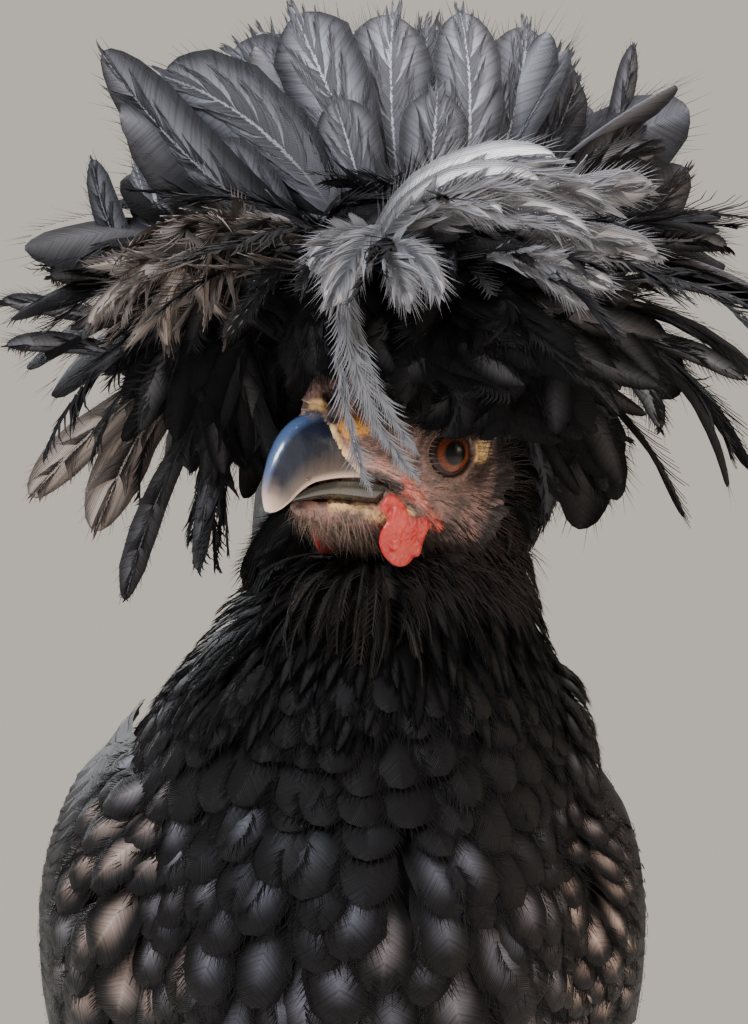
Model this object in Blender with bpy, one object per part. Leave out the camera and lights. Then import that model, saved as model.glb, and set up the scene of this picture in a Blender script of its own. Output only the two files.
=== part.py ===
"""Crested hen standing at rest, life size: beak towards -Y, her left side +X, +Z up, metres.

The head is turned to her right. The body is modelled whole from lofted sections and parted by thin
planar cuts. Crest, wings and tail carry their feathers as vanes fused to a core.
"""

import math
import random

import bmesh
import bpy
from mathutils import Matrix, Vector

MM = 0.001
GAP = 0.3 * MM
HUGE = 1.0

HEAD_PLACE = Vector((8, -66, 305)) * MM
HEAD_TURN = math.radians(47)
HEAD_DIP = math.radians(-4)
HEAD_ROLL = math.radians(5)

EYE_RADIUS = 6.6 * MM
EYE_OUT = 9.6 * MM
LID_RADIUS = 5.4 * MM
LID_THICK = 1.2 * MM
LID_LIFT = 4.4 * MM
LID_TURN = math.radians(14)

CREST_TURN = math.radians(5)
CREST_SEAT = Vector((0, 2 * MM, 12 * MM))
CREST_CORE = Vector((30, 30, 21)) * MM
CREST_CORE_LIFT = 15 * MM
FEATHER_THICK = 0.8 * MM

HOCK = Vector((38, 22, 93)) * MM
FOOT = Vector((38, 4, 12)) * MM
LEG_BACK = 4 * MM

# Torso sections from breast to rump: y, height of the middle, half width, half height up, half height down
TORSO = [
    (-101, 213, 8, 8, 8),
    (-96, 212, 23, 23, 23),
    (-84, 209, 38, 38, 41),
    (-64, 206, 49, 51, 56),
    (-36, 201, 56, 59, 67),
    (-4, 197, 59, 60, 72),
    (32, 198, 58, 58, 68),
    (66, 205, 51, 53, 56),
    (96, 216, 41, 46, 43),
    (118, 228, 28, 35, 31),
    (136, 240, 17, 22, 20),
]
TORSO_SQUARE = 0.92
# Neck sections from below: height, x, y, half width, half depth to the front, half depth to the back
NECK = [
    (206, 0, -34, 50, 58, 50),
    (226, 1, -34, 53, 60, 56),
    (243, 2, -36, 52, 54, 50),
    (257, 3, -43, 46, 46, 42),
    (270, 5, -52, 36, 33, 36),
    (282, 11, -58, 25.5, 20, 28),
    (289, 14, -57, 20, 14, 24),
    (296, 15, -57, 14, 10, 18),
]
# Skull sections from nape to beak base, in the head's own frame: forward, up, half width, half up, half down
SKULL = [
    (-31, -6, 7, 8, 9),
    (-28, -5, 15, 14, 17),
    (-20, -3, 21.5, 17, 24),
    (-11, -1, 20.0, 17, 25),
    (-4, 0, 15.2, 16, 22),
    (5, 0, 13.2, 15, 20),
    (12, 0, 11.4, 13.5, 17.5),
    (18, 0, 9.2, 11.5, 14.5),
    (24, 0, 7.2, 8.5, 10),
]
SKULL_SIDES = 14
# Upper bill along its own curved axis: forward, up, half width, half up, half down
UPPER_BILL = [
    (9, -1.5, 8.2, 8.0, 6.2),
    (16, -0.6, 7.8, 8.6, 7.2),
    (21, -0.6, 7.2, 8.3, 7.4),
    (25.5, -1.2, 6.4, 7.6, 7.0),
    (29.5, -3.0, 5.4, 6.3, 5.8),
    (33, -5.8, 4.3, 5.0, 4.3),
    (35.7, -8.9, 3.2, 3.6, 3.1),
    (37.2, -11.6, 2.1, 2.2, 2.0),
    (37.8, -13.4, 0.8, 0.7, 0.7),
]
LOWER_BILL = [
    (4, -11.4, 7.8, 3.2, 4.4),
    (12, -11.2, 7.2, 3.4, 4.0),
    (19, -11.0, 6.0, 3.4, 3.6),
    (25, -10.9, 4.5, 3.0, 2.9),
    (29.5, -11.0, 2.9, 2.2, 2.0),
    (32, -11.2, 1.1, 0.8, 0.7),
]
BILL_CUT = (Vector((0, -25.6, 6.5)) * MM, Vector((0, -0.872, -0.489)))
JAW_CUT = (Vector((0, -18.5, -11)) * MM, Vector((0, -1, 0)))
HEAD_CUT = (Vector((0, 0, -16.5)) * MM, Vector((0, 0.1, -1)))
NECK_CUT = (Vector((0, -50, 243)) * MM, Vector((0, -0.353, 0.936)))
TAIL_CUT = (Vector((0, 122, 229)) * MM, Vector((0, 0.86, 0.5)))

COLOURS = {
    "plumage": ((0.018, 0.017, 0.020), 0.45),
    "crest": ((0.045, 0.043, 0.050), 0.5),
    "skin": ((0.45, 0.20, 0.17), 0.55),
    "horn": ((0.05, 0.06, 0.10), 0.25),
    "eye": ((0.20, 0.06, 0.02), 0.1),
    "flesh": ((0.55, 0.05, 0.04), 0.45),
    "shank": ((0.10, 0.12, 0.14), 0.5),
}


def clear_scene():
    for obj in list(bpy.data.objects):
        bpy.data.objects.remove(obj)


def material(name):
    made = bpy.data.materials.get(name)
    if made is None:
        colour, roughness = COLOURS[name]
        made = bpy.data.materials.new(name)
        made.use_nodes = True
        shader = made.node_tree.nodes["Principled BSDF"]
        shader.inputs["Base Color"].default_value = (*colour, 1)
        shader.inputs["Roughness"].default_value = roughness
        shader.inputs["Metallic"].default_value = 0
    return made


def new_object(name, bm, parent=None):
    """An object from bm, linked to the scene and placed by its parent."""
    mesh = bpy.data.meshes.new(name)
    bm.to_mesh(mesh)
    bm.free()
    obj = bpy.data.objects.new(name, mesh)
    bpy.context.scene.collection.objects.link(obj)
    obj.parent = parent
    return obj


def empty(name, matrix):
    obj = bpy.data.objects.new(name, None)
    bpy.context.scene.collection.objects.link(obj)
    obj.matrix_world = matrix
    return obj


def squared(value, power):
    return math.copysign(abs(value) ** power, value)


def oval(centre, right, up, half_width, half_up, half_down, sides, power=1.0):
    """Points of an egg-shaped ring, taller or shorter above its middle. A lower power is squarer."""
    ring = []
    for i in range(sides):
        angle = math.tau * i / sides
        rise = squared(math.sin(angle), power)
        height = half_up if rise > 0 else half_down
        ring.append(centre + right * (half_width * squared(math.cos(angle), power)) + up * (height * rise))
    return ring


def loft(name, rings, parent=None):
    """A closed body through rings of points, with flat ends."""
    bm = bmesh.new()
    loops = [[bm.verts.new(point) for point in ring] for ring in rings]
    sides = len(rings[0])
    for low, high in zip(loops, loops[1:]):
        for i in range(sides):
            j = (i + 1) % sides
            bm.faces.new((low[i], low[j], high[j], high[i]))
    bm.faces.new(reversed(loops[0]))
    bm.faces.new(loops[-1])
    bmesh.ops.recalc_face_normals(bm, faces=bm.faces[:])
    bmesh.ops.triangulate(bm, faces=bm.faces[:])
    return new_object(name, bm, parent)


def along_path(points, sizes, sides, right=Vector((1, 0, 0))):
    """Rings square to a path. Sizes are half width, half up, half down for each point."""
    rings = []
    for i, point in enumerate(points):
        ahead = points[min(i + 1, len(points) - 1)] - points[max(i - 1, 0)]
        up = right.cross(ahead).normalized()
        if up.z < 0:
            up = -up
        rings.append(oval(point, right, up, *sizes[i], sides))
    return rings


def ball(name, centre, radii, parent=None, detail=2):
    bm = bmesh.new()
    place = Matrix.Translation(centre) @ Matrix.Diagonal((*radii, 1))
    bmesh.ops.create_icosphere(bm, subdivisions=detail, radius=1, matrix=place)
    return new_object(name, bm, parent)


def rod(name, start, end, radius, sides=8):
    """A cylinder from start to end."""
    bm = bmesh.new()
    way = end - start
    place = Matrix.Translation((start + end) / 2) @ way.to_track_quat("Z", "Y").to_matrix().to_4x4()
    bmesh.ops.create_cone(
        bm, cap_ends=True, segments=sides, radius1=radius, radius2=radius, depth=way.length, matrix=place
    )
    return new_object(name, bm)


def ring_tube(name, centre, axis, radius, tube, segments=14, sides=5):
    """A closed ring of round section, square to its axis."""
    bm = bmesh.new()
    turn = axis.to_track_quat("Z", "Y").to_matrix()
    loops = []
    for i in range(segments):
        out = Vector((math.cos(math.tau * i / segments), math.sin(math.tau * i / segments), 0))
        loop = []
        for j in range(sides):
            angle = math.tau * j / sides
            point = out * (radius + tube * math.cos(angle)) + Vector((0, 0, tube * math.sin(angle)))
            loop.append(bm.verts.new(centre + turn @ point))
        loops.append(loop)
    for i in range(segments):
        near, far = loops[i], loops[(i + 1) % segments]
        for j in range(sides):
            k = (j + 1) % sides
            bm.faces.new((near[j], far[j], far[k], near[k]))
    bmesh.ops.recalc_face_normals(bm, faces=bm.faces[:])
    return new_object(name, bm)


def half_space(plane, side, gap=GAP / 2):
    """A huge box whose one face lies just off the plane, on the side of its normal or the other."""
    point, normal = plane
    normal = normal.normalized() * side
    bm = bmesh.new()
    place = Matrix.Translation(point + normal * (gap + HUGE / 2))
    place = place @ normal.to_track_quat("Z", "Y").to_matrix().to_4x4()
    bmesh.ops.create_cube(bm, size=HUGE, matrix=place)
    return new_object("half_space", bm)


def shells(bm):
    """The closed surfaces of bm, as lists of faces."""
    left = set(bm.faces)
    found = []
    while left:
        start = left.pop()
        group, edge = [start], [start]
        while edge:
            face = edge.pop()
            for line in face.edges:
                for other in line.link_faces:
                    if other in left:
                        left.remove(other)
                        group.append(other)
                        edge.append(other)
        found.append(group)
    return found


def volume_of(faces):
    total = 0.0
    for face in faces:
        a, b, c = (corner.co for corner in face.verts)
        total += a.dot(b.cross(c)) / 6
    return total


def keep_largest(mesh):
    """Drops every closed surface but the largest, so that a node is one body with no sealed hollow."""
    bm = bmesh.new()
    bm.from_mesh(mesh)
    bmesh.ops.triangulate(bm, faces=bm.faces[:])
    groups = sorted(shells(bm), key=volume_of, reverse=True)
    for group in groups[1:]:
        bmesh.ops.delete(bm, geom=group, context="FACES")
    bm.to_mesh(mesh)
    bm.free()


def combine(target, operation, tools):
    """Applies one Boolean of target with all the tools, which are then removed."""
    if not tools:
        return target
    bpy.context.view_layer.update()
    group = bpy.data.collections.new("tools")
    bpy.context.scene.collection.children.link(group)
    for tool in tools:
        group.objects.link(tool)
    step = target.modifiers.new("combine", "BOOLEAN")
    step.operation = operation
    step.operand_type = "COLLECTION"
    step.collection = group
    step.solver = "MANIFOLD"
    bpy.context.view_layer.update()
    graph = bpy.context.evaluated_depsgraph_get()
    result = bpy.data.meshes.new_from_object(target.evaluated_get(graph))
    target.modifiers.clear()
    target.data = result
    keep_largest(result)
    for tool in tools:
        bpy.data.objects.remove(tool)
    bpy.data.collections.remove(group)
    return target


def fuse(target, pieces):
    return combine(target, "UNION", pieces)


def cut(target, cutters):
    return combine(target, "DIFFERENCE", cutters)


def keep_inside(target, box):
    return combine(target, "INTERSECT", [box])


def placed_copy(source, name):
    """A copy of source's mesh in world space."""
    bpy.context.view_layer.update()
    mesh = source.data.copy()
    mesh.transform(source.matrix_world)
    obj = bpy.data.objects.new(name, mesh)
    bpy.context.scene.collection.objects.link(obj)
    return obj


def grown(source, by=GAP):
    """A copy of source in world space with its surface moved out, for cutting what touches it."""
    obj = placed_copy(source, "grown")
    bm = bmesh.new()
    bm.from_mesh(obj.data)
    bm.normal_update()
    moves = [vert.normal * (by * min(vert.calc_shell_factor(), 2)) for vert in bm.verts]
    for vert, move in zip(bm.verts, moves):
        vert.co += move
    bm.to_mesh(obj.data)
    bm.free()
    return obj


def vane(along, face, root, length, width, bend, outline, camber=0.0, thick=FEATHER_THICK, across=2):
    """One feather as a thin closed blade. It starts at root along a direction and bends away from its face."""
    bm = bmesh.new()
    steps = len(outline) - 1
    bmesh.ops.create_grid(bm, x_segments=across, y_segments=steps, size=1)
    side = along.cross(face).normalized()
    for vert in bm.verts:
        share, spread = outline[round((vert.co.y + 1) / 2 * steps)]
        turn = bend * share
        reach = length * (math.sin(turn) / bend if abs(bend) > 1e-4 else share)
        drop = length * ((1 - math.cos(turn)) / bend if abs(bend) > 1e-4 else 0)
        out = face * math.cos(turn) + along * math.sin(turn)
        offset = vert.co.x * width / 2 * spread
        vert.co = root + along * reach - face * drop + side * offset - out * (camber * abs(offset))
    bmesh.ops.triangulate(bm, faces=bm.faces[:])
    bmesh.ops.solidify(bm, geom=bm.faces[:], thickness=thick)
    bmesh.ops.recalc_face_normals(bm, faces=bm.faces[:])
    return new_object("vane", bm)


# Outlines of feathers: share of the length, share of the width
ROUND_FEATHER = [(0, 0.35), (0.48, 0.8), (0.84, 1.0), (1, 0.4)]
NARROW_FEATHER = [(0, 0.5), (0.4, 1.0), (0.78, 0.75), (1, 0.14)]
WING_FEATHER = [(0, 0.75), (0.45, 1.0), (0.86, 0.92), (1, 0.3)]
COVERT = [(0, 0.8), (0.7, 1.0), (1, 0.42)]


def head_matrix():
    turn = Matrix.Rotation(-HEAD_TURN, 4, "Z") @ Matrix.Rotation(HEAD_DIP, 4, "X")
    turn = turn @ Matrix.Rotation(HEAD_ROLL, 4, "Y")
    return Matrix.Translation(HEAD_PLACE) @ turn


def body_rings(sides):
    rings = []
    for y, z, *sizes in TORSO:
        sizes = [size * MM for size in sizes]
        centre = Vector((0, y, z)) * MM
        rings.append(oval(centre, Vector((1, 0, 0)), Vector((0, 0, 1)), *sizes, sides, TORSO_SQUARE))
    return rings


def neck_rings(sides):
    rings = []
    for z, x, y, *sizes in NECK:
        sizes = [size * MM for size in sizes]
        centre = Vector((x, y, z)) * MM
        rings.append(oval(centre, Vector((1, 0, 0)), Vector((0, -1, 0)), *sizes, sides))
    return rings


def head_rings(sections, sides):
    """Rings in the head's own frame, where forward is -Y, square to the line of their middles."""
    points = [Vector((0, -forward, up)) * MM for forward, up, *_ in sections]
    sizes = [tuple(size * MM for size in section[2:]) for section in sections]
    return along_path(points, sizes, sides)


def eye_ball(name, side, radius, parent=None):
    return ball(name, Vector((side * EYE_OUT, 0, 0)), Vector((radius, radius, radius)), parent, detail=3)


def build_head(head):
    """Skull with snout, chin, lids, nostrils and gape, and the two halves of the bill."""
    upper = loft("beak_upper", head_rings(UPPER_BILL, 14))
    lower = loft("beak_lower", head_rings(LOWER_BILL, 12))
    cut(lower, [grown(upper, 0.25 * MM)])
    snout = placed_copy(upper, "snout")
    chin = placed_copy(lower, "chin")
    keep_inside(upper, half_space(BILL_CUT, 1))
    keep_inside(lower, half_space(JAW_CUT, 1))
    keep_inside(snout, half_space(BILL_CUT, -1))
    keep_inside(chin, half_space(JAW_CUT, -1))
    skull = loft("head", head_rings(SKULL, SKULL_SIDES))
    keep_inside(skull, half_space(BILL_CUT, -1))
    cut(skull, [grown(lower)])
    pieces = [snout, chin]
    for side in (-1, 1):
        axis = Vector((side * math.cos(LID_TURN), -math.sin(LID_TURN), 0))
        rim = Vector((side * EYE_OUT, 0, 0)) + axis * LID_LIFT
        pieces.append(ring_tube("lid", rim, axis, LID_RADIUS, LID_THICK, 14, 5))
        pieces.append(ball("cere", Vector((side * 3.2, -22.5, 8.4)) * MM, Vector((3.0, 4.2, 4.2)) * MM))
        pieces.append(ball("gape", Vector((side * 9.4, -6.5, -13)) * MM, Vector((2.4, 3.6, 3.2)) * MM, detail=2))
    fuse(skull, pieces)
    holes = [grown(upper)]
    for side in (-1, 1):
        holes.append(eye_ball("socket", side, EYE_RADIUS + GAP))
        start = Vector((side * 2.6, -23.5, 9.6)) * MM
        holes.append(rod("nostril", start, start + Vector((side * 6, -3.5, 1.2)) * MM, 1.3 * MM, sides=7))
    cut(skull, holes)
    for obj in (upper, lower, skull):
        obj.parent = head
    return skull, upper, lower


def build_eyes(head):
    return [eye_ball(name, side, EYE_RADIUS, head) for side, name in ((-1, "eye_right"), (1, "eye_left"))]


def build_wattles(head):
    """The small red lappets under the gape, the lobes behind the eyes and the knobs of the comb."""
    made = []
    for side, name in ((-1, "right"), (1, "left")):
        wattle = ball("wattle_" + name, Vector((side * 10.4, -10, -18)) * MM, Vector((2.4, 4.2, 7.6)) * MM)
        fuse(wattle, [ball("fold", Vector((side * 10.8, -13, -16)) * MM, Vector((1.8, 2.6, 5.4)) * MM)])
        lobe = ball("earlobe_" + name, Vector((side * 19.5, 10, -8)) * MM, Vector((2.6, 3.4, 4.8)) * MM, detail=1)
        made += [wattle, lobe]
    comb = ball("comb", Vector((-2.4, -17.5, 12)) * MM, Vector((1.8, 2.2, 4)) * MM, detail=1)
    fuse(
        comb,
        [
            ball("point", Vector((2.4, -17.5, 12)) * MM, Vector((1.8, 2.2, 4)) * MM, detail=1),
            ball("base", Vector((0, -17, 9.5)) * MM, Vector((3.6, 3, 2.4)) * MM, detail=1),
        ],
    )
    made.append(comb)
    for piece in made:
        piece.parent = head
    return made


# Rings of crest feathers: count, rise at the root, length, width, droop and first azimuth (degrees and mm)
CREST_RINGS = [
    (5, 80, 46, 27, 8, 0),
    (9, 58, 52, 29, 14, 18),
    (10, 42, 52, 29, 44, 0),
    (10, 26, 48, 27, 66, 12),
    (8, 12, 42, 24, 84, 22),
    (5, -2, 34, 20, 94, 36),
]
CREST_ROOT_DEPTH = 6 * MM
CREST_WIDER = (0.5, 0.26, 0.22)  # longer feathers to the viewer's left, right and at the back
BROW_SHORTER = 0.62
# Feathers that stand out of the globe: azimuth, rise, length, width, droop
CREST_STRANDS = [
    (-78, 50, 66, 20, -14),
    (-100, 30, 60, 11, -30),
    (-92, -24, 58, 13, 62),
    (-66, -34, 50, 9, 50),
    (-104, -8, 66, 12, 50),
    (76, 56, 62, 12, -16),
    (98, -14, 44, 13, 74),
    (74, -20, 38, 11, 70),
    (120, -20, 50, 14, 66),
    (150, -24, 52, 16, 66),
    (180, -20, 54, 16, 70),
    (-150, -24, 52, 16, 66),
    (-126, -20, 52, 14, 66),
    (-10, 10, 50, 9, 104),
    (-86, 5, 66, 26, 12),
]


def crest_feather(azimuth, rise, length, width, droop, outline, across=2):
    """A feather on the crest's core. Azimuth 0 faces the viewer and runs towards the bird's left."""
    azimuth, rise, droop = math.radians(azimuth), math.radians(rise), math.radians(droop)
    out = Vector((math.sin(azimuth), -math.cos(azimuth), 0))
    along = out * math.cos(rise) + Vector((0, 0, math.sin(rise)))
    face = Vector((0, 0, math.cos(rise))) - out * math.sin(rise)
    reach = Vector((along.x / CREST_CORE.x, along.y / CREST_CORE.y, along.z / CREST_CORE.z)).length
    root = Vector((0, 0, CREST_CORE_LIFT)) + along * (1 / reach - CREST_ROOT_DEPTH)
    return vane(along, face, root, length * MM, width * MM, droop, outline, 0.12 * (across - 1), across=across)


def crest_stretch(azimuth, rise):
    """How much longer a feather is than its ring's own length. The brow's feathers are short."""
    left, right = max(0, -math.sin(math.radians(azimuth))), max(0, math.sin(math.radians(azimuth)))
    front = max(0, math.cos(math.radians(azimuth)))
    low = max(0, 60 - rise) / 60
    wider = CREST_WIDER[0] * left**2 + CREST_WIDER[1] * right**2 + CREST_WIDER[2] * (1 - front)
    return 1 + min(1, 1.6 * low) * wider - BROW_SHORTER * front**2 * max(0, 40 - rise) / 40


def build_crest(seat, blockers):
    """The globe of broad feathers on the skull, feather by feather round a core."""
    rng = random.Random(7)
    crest = ball("crest", Vector((0, 0, CREST_CORE_LIFT)), CREST_CORE)
    feathers = []
    for count, rise, length, width, droop, first in CREST_RINGS:
        for i in range(count):
            azimuth = first + 360 * i / count + rng.uniform(-8, 8)
            azimuth = (azimuth + 180) % 360 - 180
            feathers.append(
                crest_feather(
                    azimuth,
                    rise + rng.uniform(-7, 7),
                    length * crest_stretch(azimuth, rise) * rng.uniform(0.88, 1.1),
                    width * rng.uniform(0.85, 1.12),
                    droop + rng.uniform(-9, 9),
                    ROUND_FEATHER,
                    across=1 if abs(azimuth) > 110 and rise < 50 else 2,
                )
            )
    for strand in CREST_STRANDS:
        feathers.append(crest_feather(*strand, NARROW_FEATHER, across=1))
    fuse(crest, feathers)
    crest.parent = seat
    cut(crest, [grown(blocker) for blocker in blockers])
    return crest


BEARD_CENTRE = Vector((0, -8, -29)) * MM
BEARD_RADII = Vector((15, 12, 8)) * MM
# Locks of the beard: azimuth from straight ahead and rise
LOCK_LENGTH = (15 * MM, 19 * MM)
LOCK_WIDTH = 8 * MM
LOCK_DROOP = math.radians(60)
BEARD_LOCKS = [(-80, -20), (-45, -14), (-15, -12), (15, -12), (45, -14), (80, -20)]


def build_beard(head, blockers):
    """The small tuft under the bill, as a cushion with short locks."""
    rng = random.Random(11)
    beard = ball("beard", BEARD_CENTRE, BEARD_RADII)
    locks = []
    for azimuth, rise in BEARD_LOCKS:
        azimuth, rise = math.radians(azimuth), math.radians(rise)
        out = Vector((math.sin(azimuth), -math.cos(azimuth), 0))
        along = out * math.cos(rise) + Vector((0, 0, math.sin(rise)))
        face = Vector((0, 0, math.cos(rise))) - out * math.sin(rise)
        root = BEARD_CENTRE + Vector((along.x * BEARD_RADII.x, along.y * BEARD_RADII.y, along.z * BEARD_RADII.z)) * 0.6
        length = rng.uniform(*LOCK_LENGTH)
        locks.append(vane(along, face, root, length, LOCK_WIDTH, LOCK_DROOP, NARROW_FEATHER, across=1))
    fuse(beard, locks)
    beard.parent = head
    return cut(beard, [grown(blocker) for blocker in blockers])


def torso_point(y, angle, out):
    """A point off the torso's side: angle 0 is straight out to the left, positive upwards; y in metres."""
    place = y / MM
    low, high = TORSO[0], TORSO[-1]
    for before, after in zip(TORSO, TORSO[1:]):
        if before[0] <= place <= after[0]:
            low, high = before, after
    share = min(1, max(0, (place - low[0]) / (high[0] - low[0])))
    _, z, wide, up, down = (a + (b - a) * share for a, b in zip(low, high))
    height = up if angle > 0 else down
    across = (wide * MM + out) * squared(math.cos(angle), TORSO_SQUARE)
    rise = (height * MM + out) * squared(math.sin(angle), TORSO_SQUARE)
    return Vector((across, y, z * MM + rise))


# Folded wing from shoulder to tip: y, lower edge angle, upper edge angle, thickness over the body
WING = [
    (-62, 6, 18, 1.5),
    (-56, -6, 30, 3),
    (-40, -16, 40, 4),
    (-10, -24, 46, 4),
    (25, -24, 46, 4),
    (58, -18, 42, 4),
    (84, -8, 36, 3.5),
]
# Tiers of wing feathers: count, y of the roots, length, width, lift, top angle, bottom angle, backward step
WING_TIERS = [
    (4, 64, 70, 16, 1.0, 20, -8, 4),
    (6, 8, 84, 20, 1.2, 38, -16, 2),
    (5, -24, 46, 23, 2.2, 33, -12, 2),
    (4, -46, 34, 24, 3.2, 25, -8, 1),
]
WING_SUNK = 1.6 * MM
SHINGLE = 0.95 * MM


def wing_section(y):
    """Lower angle, upper angle and thickness of the folded wing at y, kept past its last section."""
    place = min(max(y / MM, WING[0][0]), WING[-1][0])
    for before, after in zip(WING, WING[1:]):
        if before[0] <= place <= after[0]:
            share = (place - before[0]) / (after[0] - before[0])
            _, low, high, thick = (a + (b - a) * share for a, b in zip(before, after))
            return math.radians(low), math.radians(high), thick * MM


def wing_swell(y, angle):
    """Height of the wing's own surface over the body."""
    low, high, thick = wing_section(y)
    share = min(0.97, max(0.03, (angle - low) / (high - low)))
    return thick * math.sin(math.pi * share) ** 0.4


def wing_rings():
    rings = []
    steps = 6
    for y, *_ in WING:
        low, high, _ = wing_section(y * MM)
        angles = [low + (high - low) * i / steps for i in range(steps + 1)]
        outer = [torso_point(y * MM, angle, wing_swell(y * MM, angle)) for angle in angles]
        inner = [torso_point(y * MM, angle, -6 * MM) for angle in angles]
        rings.append(outer + inner[::-1])
    return rings


def side_vane(y, angle, length, width, lift, slope, outline):
    """A feather that lies back along the wing. Its lower edge stands off over the next feather below."""
    bm = bmesh.new()
    steps = len(outline) - 1
    bmesh.ops.create_grid(bm, x_segments=1, y_segments=steps, size=1)
    for vert in bm.verts:
        share, spread = outline[round((vert.co.y + 1) / 2 * steps)]
        across = vert.co.x * width / 2 * spread
        here = angle + slope * share + across / (60 * MM)
        place = y + length * share
        out = wing_swell(place, angle + slope * share) - WING_SUNK * (1 - 2 * share) + lift * min(1, 2 * share)
        vert.co = torso_point(place, here, out + SHINGLE * (1 - vert.co.x))
    bmesh.ops.triangulate(bm, faces=bm.faces[:])
    bmesh.ops.solidify(bm, geom=bm.faces[:], thickness=FEATHER_THICK)
    bmesh.ops.recalc_face_normals(bm, faces=bm.faces[:])
    return new_object("vane", bm)


def build_wing(name, mirrored, torso):
    """A folded wing over the body's side, with coverts, secondaries and primaries in tiers."""
    rng = random.Random(3)
    wing = loft(name, wing_rings())
    feathers = []
    for count, y, length, width, lift, top, bottom, step in WING_TIERS:
        for i in range(count):
            share = i / (count - 1)
            angle = math.radians(top + (bottom - top) * share)
            slope = math.radians(-10 + 18 * share)
            start = (y + step * i) * MM
            reach = length * rng.uniform(0.95, 1.05) * MM
            outline = COVERT if length < 50 else WING_FEATHER
            feathers.append(side_vane(start, angle, reach, width * MM, lift * MM, slope, outline))
    fuse(wing, feathers)
    if mirrored:
        wing.data.transform(Matrix.Diagonal((-1, 1, 1, 1)))
        wing.data.flip_normals()
    return cut(wing, [grown(torso)])


# Tail fans on each side: count, upper and lower rise in degrees, length, width, distance out from the middle
TAIL_FANS = [
    (5, 48, 8, 142, 36, 1.5),
    (2, 34, 16, 62, 30, 9.5),
]
TAIL_ROOT = Vector((0, 116, 232)) * MM
TAIL_TENT = math.radians(24)
TAIL_SHINGLE = 1.5 * MM
TAIL_STEP = 4 * MM


def build_tail(stump):
    """Main tail feathers as two fans that meet along the top like a tent, with coverts over their roots."""
    rng = random.Random(5)
    feathers = []
    for side in (-1, 1):
        outward = Vector((side * math.cos(TAIL_TENT), 0, math.sin(TAIL_TENT)))
        for count, first, last, length, width, out in TAIL_FANS:
            for i in range(count):
                share = i / (count - 1)
                rise = math.radians(first + (last - first) * share)
                along = Vector((side * 0.1, math.cos(rise), math.sin(rise)))
                along = (along - outward * along.dot(outward)).normalized()
                start = TAIL_ROOT + outward * (out * MM + TAIL_SHINGLE * i) - Vector((0, 0, TAIL_STEP * i))
                reach = length * (1 - 0.2 * share) * rng.uniform(0.97, 1.03) * MM
                bend = math.radians(5)
                outline = COVERT if length < 80 else WING_FEATHER
                feathers.append(vane(along, outward, start, reach, width * MM, -bend, outline, across=1))
    fuse(stump, feathers)
    return stump


def build_thigh(name, side, torso):
    points = [
        Vector((side * 34, 2, 176)),
        Vector((side * 36, 6, 146)),
        Vector((side * 38, 13, 122)),
        Vector((side * 38.5, 19, 104)),
        Vector((side * 38, 22, 94)),
    ]
    sizes = [(22, 32, 32), (24, 31, 30), (18, 22, 20), (11, 12.5, 12), (7.5, 8.5, 8)]
    points = [(point + Vector((0, 4, 0))) * MM for point in points]
    sizes = [tuple(size * MM for size in row) for row in sizes]
    rings = []
    for point, size in zip(points, sizes):
        rings.append(oval(point, Vector((1, 0, 0)), Vector((0, -1, 0)), *size, 14))
    thigh = loft(name, rings)
    return cut(thigh, [grown(torso)])


def build_shank(name, side):
    """Scaled leg from hock to foot, with a row of broad scutes down its front."""
    hock = Vector((side * HOCK.x, HOCK.y + LEG_BACK, HOCK.z))
    foot = Vector((side * FOOT.x, FOOT.y + LEG_BACK, FOOT.z))
    stations = [(0, 6.6), (0.1, 6.8), (0.24, 4.9), (0.6, 4.5), (0.88, 5.4), (1, 6.0)]
    points = [hock.lerp(foot, share) for share, _ in stations]
    sizes = [(radius * 0.9 * MM, radius * 1.1 * MM, radius * 1.1 * MM) for _, radius in stations]
    shank = loft(name, along_path(points, sizes, 10))
    keep_inside(shank, half_space((hock, Vector((0, 0, 1))), -1, 0))
    return shank


TOES = [
    # name, heading from straight ahead outwards in degrees, reach, root radius
    ("middle", 2, 46, 5.0),
    ("inner", -34, 36, 4.7),
    ("outer", 40, 39, 4.5),
    ("hind", 172, 21, 4.2),
]
PAD_RADII = Vector((8.6, 9.2, 8.2)) * MM
PAD_HEIGHT = 7 * MM
CLAW_LENGTH = 12 * MM


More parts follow.
